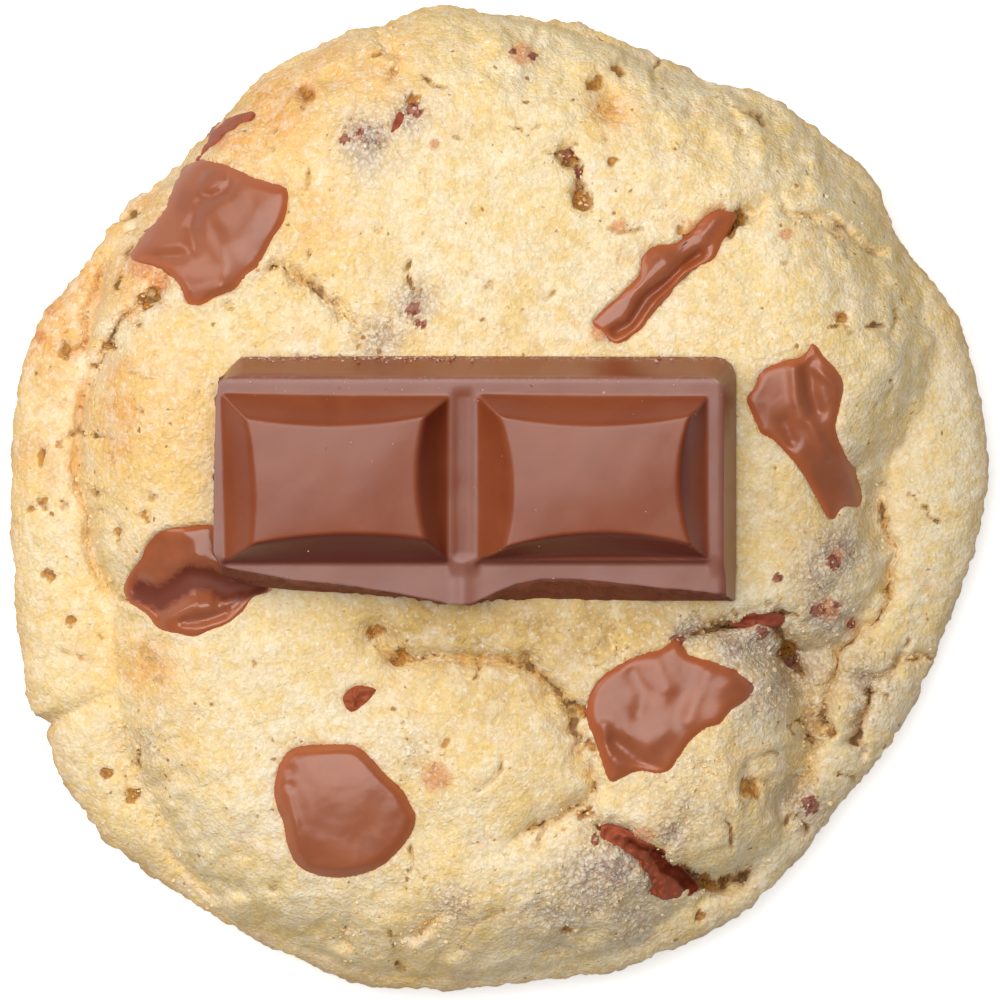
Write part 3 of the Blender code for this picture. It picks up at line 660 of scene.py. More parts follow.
class NodeBench:
    """Adds shader nodes to one tree, each with its values and links in a single call."""

    def __init__(self, tree: bpy.types.NodeTree) -> None:
        """Works on the given tree."""
        self.tree = tree

    def add(self, kind: str, inputs: dict | None = None, **settings: object) -> bpy.types.Node:
        """Adds a node.

        Args:
            kind: The node's type, without ShaderNode.
            inputs: Values or sockets for its inputs, by name or number.
            **settings: Its own settings.

        Returns:
            The node.
        """
        node = self.tree.nodes.new("ShaderNode" + kind)
        for name, value in settings.items():
            setattr(node, name, value)
        for name, value in (inputs or {}).items():
            self.feed(node.inputs[name], value)
        return node

    def feed(self, socket: Socket, value: object) -> None:
        """Links or sets an input.

        Args:
            socket: The input.
            value: A socket to link to it, or a value to set; a colour of three numbers gets its fourth.
        """
        if isinstance(value, Socket):
            self.tree.links.new(value, socket)
        elif isinstance(value, tuple) and len(value) == 3 and socket.type == "RGBA":
            socket.default_value = (*value, 1.0)
        else:
            socket.default_value = value

    def math(self, operation: str, *values: object, clamp: bool = False) -> Socket:
        """Adds a Math node.

        Args:
            operation: What it does.
            *values: Its values or sockets, in order.
            clamp: Whether its result is held between 0 and 1.

        Returns:
            Its result.
        """
        node = self.add("Math", operation=operation, use_clamp=clamp)
        for number, value in enumerate(values):
            self.feed(node.inputs[number], value)
        return node.outputs[0]

    def times(self, first: object, second: object, clamp: bool = False) -> Socket:
        """The product of two values."""
        return self.math("MULTIPLY", first, second, clamp=clamp)

    def total(self, *parts: tuple[object, float]) -> Socket:
        """Adds up values.

        Args:
            *parts: The values, each with its weight.

        Returns:
            The sum of the values, each times its own weight.
        """
        result: object = 0.0
        for value, weight in parts:
            result = self.math("MULTIPLY_ADD", value, weight, result)
        return result

    def window(self, value: object, low: float, high: float) -> Socket:
        """A mask that goes smoothly from 0 where the value is low to 1 where it is high."""
        node = self.add("MapRange", {0: value, 1: low, 2: high}, interpolation_type="SMOOTHSTEP")
        return node.outputs[0]

    def blend(self, share: object, first: object, second: object, mode: str = "MIX") -> Socket:
        """Lays one colour over another.

        Args:
            share: How much of the second colour shows, from 0 to 1.
            first: The colour below.
            second: The colour above.
            mode: How the two are mixed.

        Returns:
            The mixed colour.
        """
        node = self.add("Mix", data_type="RGBA", blend_type=mode)
        for socket, value in zip((node.inputs[0], node.inputs[6], node.inputs[7]), (share, first, second)):
            self.feed(socket, value)
        return node.outputs[2]

    def noise(self, where: object, size_mm: float, detail: float = 2.0, harsh: float = 0.5) -> Socket:
        """Random values around 0.5, with features of the given size."""
        node = self.add("TexNoise", {"Vector": where, "Scale": 1000.0 / size_mm, "Detail": detail,
                                     "Roughness": harsh})
        return node.outputs[0]

    def cells(self, where: object, size_mm: float, feature: str = "F1") -> bpy.types.bpy_prop_collection:
        """The outputs of a pattern of cells of the given size."""
        node = self.add("TexVoronoi", {"Vector": where, "Scale": 1000.0 / size_mm}, feature=feature)
        return node.outputs

    def shifted(self, where: object, size_mm: float, by_mm: float) -> Socket:
        """Pushes places about at random, so that a pattern read there isn't regular.

        Args:
            where: The places.
            size_mm: The size of the pushes' pattern.
            by_mm: How far they go at most.

        Returns:
            The new places.
        """
        drift = self.add("TexNoise", {"Vector": where, "Scale": 1000.0 / size_mm, "Detail": 1.0}).outputs[1]
        centred = self.add("VectorMath", {0: drift, 1: (0.5, 0.5, 0.5)}, operation="SUBTRACT").outputs[0]
        by = by_mm * METRES * 2
        scaled = self.add("VectorMath", {0: centred, "Scale": by}, operation="SCALE").outputs[0]
        return self.add("VectorMath", {0: where, 1: scaled}, operation="ADD").outputs[0]

    def group(self, tree: bpy.types.NodeTree, **takes: object) -> bpy.types.bpy_prop_collection:
        """Places a shared group.

        Args:
            tree: The group's tree.
            **takes: Values or sockets for its inputs, by name.

        Returns:
            Its outputs.
        """
        node = self.add("Group")
        node.node_tree = tree
        for name, value in takes.items():
            self.feed(node.inputs[name], value)
        return node.outputs

    def mask(self, name: str) -> Socket:
        """A mask that the mesh carries on its vertices."""
        return self.add("Attribute", attribute_name=name).outputs["Fac"]

    def place(self) -> Socket:
        """The place on the piece, in its own coordinates."""
        return self.add("TexCoord").outputs["Object"]

    def bump(self, height: object, depth_mm: float) -> Socket:
        """A normal with the given relief."""
        node = self.add("Bump", {"Height": height, "Distance": depth_mm * METRES, "Strength": 1.0})
        return node.outputs[0]


def new_group(name: str, takes: dict[str, tuple[str, object]], gives: dict[str, str]) -> bpy.types.NodeTree:
    """Starts a shader node group.

    Args:
        name: The group's name.
        takes: Its inputs: for each name, the socket's kind and its usual value, or None.
        gives: Its outputs: for each name, the socket's kind.

    Returns:
        The group's tree, with its Group Input and Group Output nodes.
    """
    tree = bpy.data.node_groups.new(name, "ShaderNodeTree")
    for label, (kind, usual) in takes.items():
        socket = tree.interface.new_socket(name=label, in_out="INPUT", socket_type="NodeSocket" + kind)
        if usual is not None:
            socket.default_value = usual
    for label, kind in gives.items():
        tree.interface.new_socket(name=label, in_out="OUTPUT", socket_type="NodeSocket" + kind)
    tree.nodes.new("NodeGroupInput").name = "in"
    tree.nodes.new("NodeGroupOutput").name = "out"
    return tree


class SandyGrain:
    """The fine sandy grain of baked dough, shared by the crust and its crumbs."""

    def __init__(self) -> None:
        """Builds the group: place in; relief, tints, pits, fine cracks and bright grains out."""
        gives = ("Relief", "Tint", "Mottle", "Flour", "Granule", "Pit", "Crack", "Sugar", "Rosy")
        takes = {"Place": ("Vector", None), "Pits": ("Float", 1.0)}
        self.tree = new_group("sandy grain", takes, {name: "Float" for name in gives})
        bench = NodeBench(self.tree)
        take, give = self.tree.nodes["in"], self.tree.nodes["out"]
        where = take.outputs["Place"]
        drifting = bench.shifted(where, 0.5, 0.28)
        sand = bench.noise(where, 0.24, 2.0, 0.6)
        granule = bench.math("SUBTRACT", 1.0, bench.cells(drifting, 0.46)["Distance"])
        clump = bench.noise(drifting, 1.3, 3.0, 0.6)
        crowded = bench.window(bench.noise(where, 8.0, 2.0), 0.38, 0.62)

        holes = bench.cells(drifting, 1.4)
        drawn = bench.add("SeparateColor", {0: holes["Color"]}).outputs
        wide = bench.times(bench.math("SUBTRACT", drawn[0], 0.38),
                          bench.math("MULTIPLY_ADD", crowded, 0.22, 0.06))
        pit = bench.window(bench.math("SUBTRACT", wide, holes["Distance"]), -0.11, 0.05)
        pit = bench.times(pit, take.outputs["Pits"])

        jagged = bench.shifted(bench.shifted(where, 1.3, 0.5), 0.35, 0.14)
        seam = bench.cells(jagged, 3.2, "DISTANCE_TO_EDGE")["Distance"]
        open_here = bench.window(bench.noise(where, 2.4, 2.0), 0.60, 0.70)
        on_seam = bench.math("SUBTRACT", 1.0, bench.window(seam, 0.006, 0.032))
        crack = bench.times(on_seam, open_here)
        crack = bench.times(crack, take.outputs["Pits"])

        grains = bench.cells(drifting, 0.5)
        lucky = bench.add("SeparateColor", {0: grains["Color"]}).outputs
        near = bench.math("SUBTRACT", 1.0, bench.window(grains["Distance"], 0.14, 0.32))
        values = (
            bench.total((sand, 0.34), (granule, 0.34), (clump, 0.30), (pit, -0.20), (crack, -0.10)),
            bench.total((sand, 0.34), (granule, 0.25), (clump, 0.50)),
            bench.noise(bench.shifted(where, 1.2, 0.5), 1.15, 2.0, 0.5),
            bench.noise(drifting, 0.42, 1.5, 0.5),
            granule,
            pit,
            crack,
            bench.times(bench.window(lucky[0], 0.88, 0.95), near),
            bench.times(bench.window(lucky[1], 0.965, 0.985), near),
        )
        for name, value in zip(gives, values):
            bench.feed(give.inputs[name], value)


class ChocolateStreaks:
    """The uneven brown of milk chocolate, shared by the melted chunks and the moulded bar."""

    def __init__(self) -> None:
        """Builds the group: place in; cloud and fine relief out."""
        self.tree = new_group(
            "chocolate streaks", {"Place": ("Vector", None)}, {"Cloud": "Float", "Relief": "Float"})
        bench = NodeBench(self.tree)
        take, give = self.tree.nodes["in"], self.tree.nodes["out"]
        where = take.outputs["Place"]
        cloud = bench.noise(bench.shifted(where, 6.0, 1.5), 4.2, 3.0, 0.55)
        fine = bench.noise(where, 0.5, 2.0, 0.6)
        specks = bench.window(bench.noise(where, 0.8, 2.0, 0.7), 0.74, 0.80)
        relief = bench.total((bench.noise(where, 2.8, 2.0), 0.9), (fine, 0.05), (specks, 0.1))
        bench.feed(give.inputs["Cloud"], cloud)
        bench.feed(give.inputs["Relief"], relief)


def new_material(name: str) -> tuple[bpy.types.Material, NodeBench, bpy.types.Node]:
    """Starts a material.

    Args:
        name: Its name.

    Returns:
        The material, its bench and its Principled shader.
    """
    material = bpy.data.materials.new(name)
    material.use_nodes = True
    shader = material.node_tree.nodes["Principled BSDF"]
    shader.inputs["Metallic"].default_value = 0.0
    return material, NodeBench(material.node_tree), shader


@dataclass(frozen=True)
class DoughFinish:
    """Pale butter dough, baked dry: its colours where it is calm, toasted, cracked and stained, with painted
    shade and shadow.
    """

    grain: SandyGrain
    pale: Colour = colour(243, 226, 190)
    middle: Colour = colour(240, 215, 164)
    yellow: Colour = colour(242, 210, 140)
    warm: Colour = colour(247, 204, 132)
    toasted: Colour = colour(234, 168, 92)
    butter: Colour = colour(240, 206, 132)
    cream: Colour = colour(248, 232, 202)
    blush: Colour = colour(236, 200, 168)
    floury: Colour = colour(216, 204, 188)
    shaded: Colour = colour(176, 153, 142)
    # The ochre of the painted shadow below the bar.
    painted_shade: Colour = colour(199, 163, 99)
    smeared: Colour = colour(168, 112, 94)
    # The darker colour between grains: partly painted shade, partly their own ochre.
    gap: Colour = (0.90, 0.86, 0.79)
    sugar: Colour = colour(255, 250, 236)
    ochre: Colour = colour(196, 134, 50)
    amber: Colour = colour(146, 84, 24)
    hollow: Colour = colour(194, 146, 80)
    # The dark brown of painted shade in the cracks' cores.
    dark: Colour = colour(112, 68, 32)
    rusty: Colour = colour(214, 128, 74)
    choc: Colour = colour(132, 58, 40)
    relief_mm: float = 0.26

    def make(self) -> bpy.types.Material:
        """Builds the material.

        Returns:
            The material.
        """
        material, bench, shader = new_material("baked dough")
        where = bench.place()
        grain = bench.group(self.grain.tree, Place=where)
        broad = bench.noise(where, 14.0, 3.0, 0.55)
        patchy = bench.noise(bench.shifted(where, 9.0, 3.0), 5.5, 4.0, 0.62)
        ragged = bench.noise(where, 0.7, 3.0, 0.65)
        breakup = bench.math("MULTIPLY_ADD", bench.noise(where, 2.2, 3.0, 0.65), 1.1, 0.45)

        def soft(mask: str) -> Socket:
            """A mask of the mesh with a blotchy edge."""
            return bench.times(bench.mask(mask), breakup, clamp=True)

        def torn(mask: str, amount: float = 0.9) -> Socket:
            """A mask of the mesh with a ragged edge, to cut off at a height."""
            return bench.total((bench.mask(mask), 1.0), (bench.math("SUBTRACT", ragged, 0.5), amount))

        def lay(tint: object, value: Socket, low: float, high: float, most: float,
                over: object) -> Socket:
            """The tint with the colour over it where the value is high, at most in the given share."""
            return bench.blend(bench.times(bench.window(value, low, high), most), tint, over)

        tint = lay(self.middle, broad, 0.36, 0.62, 1.0, self.pale)
        tint = lay(tint, patchy, 0.46, 0.70, 0.7, self.yellow)
        tint = bench.blend(soft("warm"), tint, self.warm)
        tint = bench.blend(soft("toast"), tint, self.toasted)
        tint = lay(tint, bench.noise(where, 3.4, 3.0, 0.6), 0.54, 0.72, 0.45, self.blush)
        # Painted shadow of the bar on the dough below it.
        tint = bench.blend(soft("painted_shade"), tint, self.painted_shade)
        tint = bench.blend(soft("pale"), tint, self.cream)
        larger = bench.noise(bench.shifted(where, 2.6, 1.2), 3.0, 2.0, 0.5)
        tint = lay(tint, larger, 0.52, 0.66, 0.42, self.butter)
        tint = lay(tint, larger, 0.48, 0.36, 0.30, self.cream)
        tint = lay(tint, grain["Mottle"], 0.50, 0.66, 0.50, self.butter)
        tint = lay(tint, grain["Mottle"], 0.48, 0.36, 0.36, self.cream)
        stain = soft("stain")
        tint = bench.blend(stain, tint, lay(self.shaded, grain["Granule"], 0.40, 0.70, 1.0, self.floury))
        smear = bench.times(bench.noise(where, 0.9, 3.0, 0.7), bench.window(stain, 0.3, 0.8))
        tint = lay(tint, smear, 0.55, 0.64, 0.75, self.smeared)
        tint = lay(tint, torn("rust"), 0.30, 0.80, 0.65, self.rusty)
        # Darker between the grains: partly painted shade in the gaps, partly the grains' own ochre.
        grain_shade_and_tone = lay(self.gap, grain["Tint"], 0.38, 0.66, 1.0, (1.03, 1.04, 1.06))
        tint = bench.blend(1.0, tint, grain_shade_and_tone, "MULTIPLY")
        tint = lay(tint, grain["Flour"], 0.44, 0.32, 0.30, self.butter)
        tint = lay(tint, grain["Flour"], 0.58, 0.70, 0.35, self.sugar)
        tint = lay(tint, grain["Sugar"], 0.0, 1.0, 0.5, self.sugar)
        tint = lay(tint, grain["Rosy"], 0.0, 1.0, 0.6, self.rusty)

        # Cracks: an amber-ochre band, partly the inside's own colour and partly painted shade, round a dark
        # core of painted shade.
        gap = bench.total((torn("gap", 0.45), 1.0), (bench.noise(where, 2.6, 2.0), 0.9))
        tint = lay(tint, gap, 0.98, 1.14, 0.62, self.hollow)
        core = bench.window(gap, 1.14, 1.28)
        tint = bench.blend(bench.times(core, 0.72), tint, self.dark)
        hole = torn("pit")
        tint = lay(tint, hole, 0.28, 0.50, 0.5, self.hollow)
        tint = lay(tint, hole, 0.50, 0.72, 0.80, lay(self.amber, ragged, 0.42, 0.58, 1.0, self.ochre))
        tint = lay(tint, grain["Pit"], 0.20, 0.65, 0.40, self.hollow)
        tint = lay(tint, grain["Pit"], 0.66, 0.92, 0.65, self.amber)
        tint = lay(tint, grain["Crack"], 0.0, 1.0, 0.22, self.ochre)
        fleck = torn("fleck")
        tint = lay(tint, fleck, 0.26, 0.70, 0.95, lay(self.choc, ragged, 0.40, 0.58, 1.0, self.smeared))
        bench.feed(shader.inputs["Base Color"], tint)
        shader.inputs["Roughness"].default_value = 0.85
        shader.inputs["Specular IOR Level"].default_value = 0.12
        rough = bench.times(stain, grain["Granule"])
        sunk = bench.window(hole, 0.4, 0.7)
        relief = bench.total((grain["Relief"], 1.0), (rough, 0.35), (core, -0.4), (sunk, -0.3))
        bench.feed(shader.inputs["Normal"], bench.bump(relief, self.relief_mm))
        return material


@dataclass(frozen=True)
class MeltedFinish:
    """Chocolate that has melted in the oven and set again with a soft gloss; its hollows painted dark as
    shade, its thin rim a brighter orange as painted glow.
    """

    streaks: ChocolateStreaks
    name: str = "melted chocolate"
    gloss: float = 0.5
    body: Colour = colour(150, 82, 50)
    light: Colour = colour(162, 93, 61)
    # The brighter orange of light glowing through the thin rim, painted.
    edge: Colour = colour(178, 92, 46)
    # The deep brown of painted shade in the hollows.
    deep: Colour = colour(108, 42, 18)
    dark: Colour = colour(150, 72, 54)

    def make(self) -> bpy.types.Material:
        """Builds the material.

        Returns:
            The material.
        """
        material, bench, shader = new_material(self.name)
        where = bench.place()
        streaks = bench.group(self.streaks.tree, Place=where)
        tint = bench.blend(bench.window(streaks["Cloud"], 0.35, 0.68), self.body, self.light)
        # Painted light: the thin rim is painted a brighter orange, as light glows through thin chocolate.
        tint = bench.blend(bench.times(bench.mask("edge"), 0.7), tint, self.edge)
        tint = bench.blend(bench.mask("dark"), tint, self.dark)
        ragged = bench.math("MULTIPLY_ADD", bench.noise(where, 0.7, 3.0, 0.65), 0.5, -0.25)
        # Painted shade: the chunk's valleys and holes darkened to deep brown.
        hollow = bench.window(bench.math("ADD", bench.mask("hollow"), ragged), 0.40, 0.72)
        tint = bench.blend(hollow, tint, self.deep)
        bench.feed(shader.inputs["Base Color"], tint)
        rough = bench.total(
            (streaks["Cloud"], 0.10), (hollow, 0.5), (bench.mask("dark"), 0.15), (bench.mask("wet"), -0.14))
        bench.feed(shader.inputs["Roughness"], bench.math("ADD", rough, 0.26))
        shader.inputs["Specular IOR Level"].default_value = self.gloss
        bench.feed(shader.inputs["Normal"], bench.bump(streaks["Relief"], 0.06))
        return material


@dataclass(frozen=True)
class MouldedFinish:
    """Bar chocolate as it left its mould: satin, with dusty scuffs, rough where snapped, and painted shade
    and sheen.
    """

    streaks: ChocolateStreaks
    body: Colour = colour(132, 62, 30)
    light: Colour = colour(139, 69, 36)
    # The dark brown of painted shade, for the groove and the slopes facing away from the light.
    deep: Colour = colour(88, 22, 6)
    # The mauve of the painted sheen on the flat border.
    painted_sheen: Colour = colour(146, 112, 106)
    broken: Colour = colour(130, 60, 32)
    dust: Colour = colour(214, 190, 172)
    border_sheen_share: float = 0.38
    groove_shade_share: float = 0.22
    # How much painted shade the slopes facing away from the light get.
    slope_shade_share: float = 0.85
    relief_mm: float = 0.30

    def make(self) -> bpy.types.Material:
        """Builds the material.

        Returns:
            The material.
        """
        material, bench, shader = new_material("moulded chocolate")
        where = bench.place()
        streaks = bench.group(self.streaks.tree, Place=where)
        fracture = bench.mask("fracture")
        tint = bench.blend(bench.window(streaks["Cloud"], 0.3, 0.7), self.body, self.light)
        # Painted sheen: the flat border round the squares is tinted mauve like the key light's reflection.
        tint = bench.blend(bench.times(bench.mask("border"), self.border_sheen_share), tint, self.painted_sheen)
        # Painted shade in the groove between the squares.
        tint = bench.blend(bench.times(bench.mask("groove"), self.groove_shade_share), tint, self.deep)
        # Painted shade on the slopes that face away from the light.
        tint = bench.blend(bench.times(bench.mask("lee"), self.slope_shade_share), tint, self.deep)
        uneven_break = bench.math("MULTIPLY_ADD", bench.noise(where, 0.8, 3.0, 0.7), 1.2, 0.3)
        crumbly = bench.times(fracture, uneven_break, clamp=True)
        tint = bench.blend(crumbly, tint, self.broken)
        dusty = bench.window(bench.noise(where, 0.45, 2.0, 0.7), 0.5, 0.68)
        scuff = bench.times(bench.mask("scuff"), dusty)
        tint = bench.blend(bench.times(scuff, 0.8), tint, self.dust)
        bench.feed(shader.inputs["Base Color"], tint)
        rough = bench.total((streaks["Cloud"], 0.08), (fracture, 0.40), (scuff, 0.2))
        bench.feed(shader.inputs["Roughness"], bench.math("ADD", rough, 0.29))
        shader.inputs["Specular IOR Level"].default_value = 0.5
        torn = bench.times(fracture, bench.noise(where, 0.7, 3.0, 0.65))
        height = bench.total((streaks["Relief"], 0.12), (torn, 1.2))
        bench.feed(shader.inputs["Normal"], bench.bump(height, self.relief_mm))
        return material


@dataclass(frozen=True)
class CrumbFinish:
    """Loose crumbs and sugar grains: paler than the crust, each with its own shade."""

    grain: SandyGrain
    dark: Colour = colour(224, 190, 130)
    light: Colour = colour(244, 228, 190)

    def make(self) -> bpy.types.Material:
        """Builds the material.

        Returns:
            The material.
        """
        material, bench, shader = new_material("dough crumbs")
        where = bench.place()
        grain = bench.group(self.grain.tree, Place=where, Pits=0.0)
        tint = bench.blend(bench.mask("shade"), self.dark, self.light)
        bench.feed(shader.inputs["Base Color"], tint)
        shader.inputs["Roughness"].default_value = 0.8
        shader.inputs["Specular IOR Level"].default_value = 0.3
        bench.feed(shader.inputs["Normal"], bench.bump(grain["Relief"], 0.12))
        return material


@dataclass(frozen=True)
class ShavingFinish:
    """Thin shavings and dust of chocolate that lie on the bar."""

    grain: SandyGrain
    dark: Colour = colour(150, 84, 52)
    light: Colour = colour(226, 196, 172)

    def make(self) -> bpy.types.Material:
        """Builds the material.

        Returns:
            The material.
        """
        material, bench, shader = new_material("chocolate shavings")
        where = bench.place()
        grain = bench.group(self.grain.tree, Place=where, Pits=0.0)
        tint = bench.blend(bench.mask("shade"), self.dark, self.light)
        bench.feed(shader.inputs["Base Color"], tint)
        shader.inputs["Roughness"].default_value = 0.5
        bench.feed(shader.inputs["Normal"], bench.bump(grain["Relief"], 0.08))
        return material


# Melted chunks.


@dataclass(frozen=True)
class Ripple:
    """A ridge or valley in melted chocolate: its line, its height and its reach."""

    line: Line
    height: float
    reach: float


@dataclass(frozen=True)
class MeltedChunk:
    """A melted chunk set in the crust: its outline, how high its crown stands, and the ripples on it.

    Its edge lies edge_below under the calm crust and climbs back by edge_rise and its own crown.
    """

    node: str
    centre: Place
    outline: Line
    crown: float = 0.5
    soften: float = 1.0
    ripples: tuple[Ripple, ...] = ()
    cells: int = 64
    sink: float = 2.0
    # How strongly the chunk's valleys are painted dark as shade.
    hollow: float = 0.0
    dark: float = 0.0
    wet: float = 0.0
    tilt: Place = (0.0, 0.0)
    sunken: bool = False
    foot_rings: int = 3
    edge_below: float = 0.85
    edge_rise: float = 0.55

    def border(self) -> Outline:
        """The chunk's outline."""
        return Outline(self.outline, self.centre)

    def build(self, crust: Crust, finish: bpy.types.Material) -> bpy.types.Object:
        """Makes the chunk.

        Args:
            crust: The crust that it lies in.
            finish: Its material.

        Returns:
            The chunk, closed, with its foot in its pocket.
        """
        obj = finish_mesh("melted_" + self.node, unit_disc(self.cells, self.foot_rings), 75.0)
        unit = vertex_places(obj.data)
        border = self.border()
        angle, share = round_the_disc(unit)
        ring = -unit[:, 2]
        share = np.where(ring > 0.5, 1 - 0.05 * ring, 1 - (1 - share) ** 1.15)
        radius = border.radius(angle)
        rim = flat_places(self.centre[0] + radius * np.cos(angle), self.centre[1] + radius * np.sin(angle))
        radius = radius + 0.19 * uneven(rim, 1.1, 8.9) + 0.14 * uneven(rim, 0.5, 9.9)
        x = self.centre[0] + share * radius * np.cos(angle)
        y = self.centre[1] + share * radius * np.sin(angle)
        depth = np.clip(border.depth(x, y), 0, None)
        flat = flat_places(x, y)
        z = crust.calm(x, y) - self.edge_below + (self.edge_rise + self.crown) * shoulder(depth, self.soften)
        z += self.tilt[0] * (x - self.centre[0]) + self.tilt[1] * (y - self.centre[1])
        fade = ramp(depth, 0.1, 0.5 if self.sunken else 1.1)
        valley = np.zeros(len(x))
        for ripple in self.ripples:
            distance, _, _ = line_distance(x, y, ripple.line)
            swell = np.exp(-((distance / ripple.reach) ** 2))
            z += ripple.height * fade * swell
            if ripple.height < 0:
                valley = np.maximum(valley, min(1.0, -ripple.height) * swell)
        z += fade * (0.07 * uneven(flat, 4.0, 8.2) + 0.015 * uneven(flat, 1.2, 9.2))
        z += (0.45 * uneven(flat, 0.9, 10.2) if self.sunken else 0.0) * fade
        z = np.where(ring > 0.5, z - self.sink * ring / self.foot_rings, z)
        move_vertices(obj.data, np.stack([x, y, z], axis=1))
        # hollow marks the valleys for painted shade, and edge marks the rim for a painted glow.
        paint(obj.data, edge=1 - ramp(depth, 0.2, 1.5), hollow=self.hollow * valley,
              dark=np.full(len(x), self.dark), wet=np.full(len(x), self.wet))
        obj.data.materials.append(finish)
        place_piece(obj, Slot.MELTED.value, self.node)
        return obj


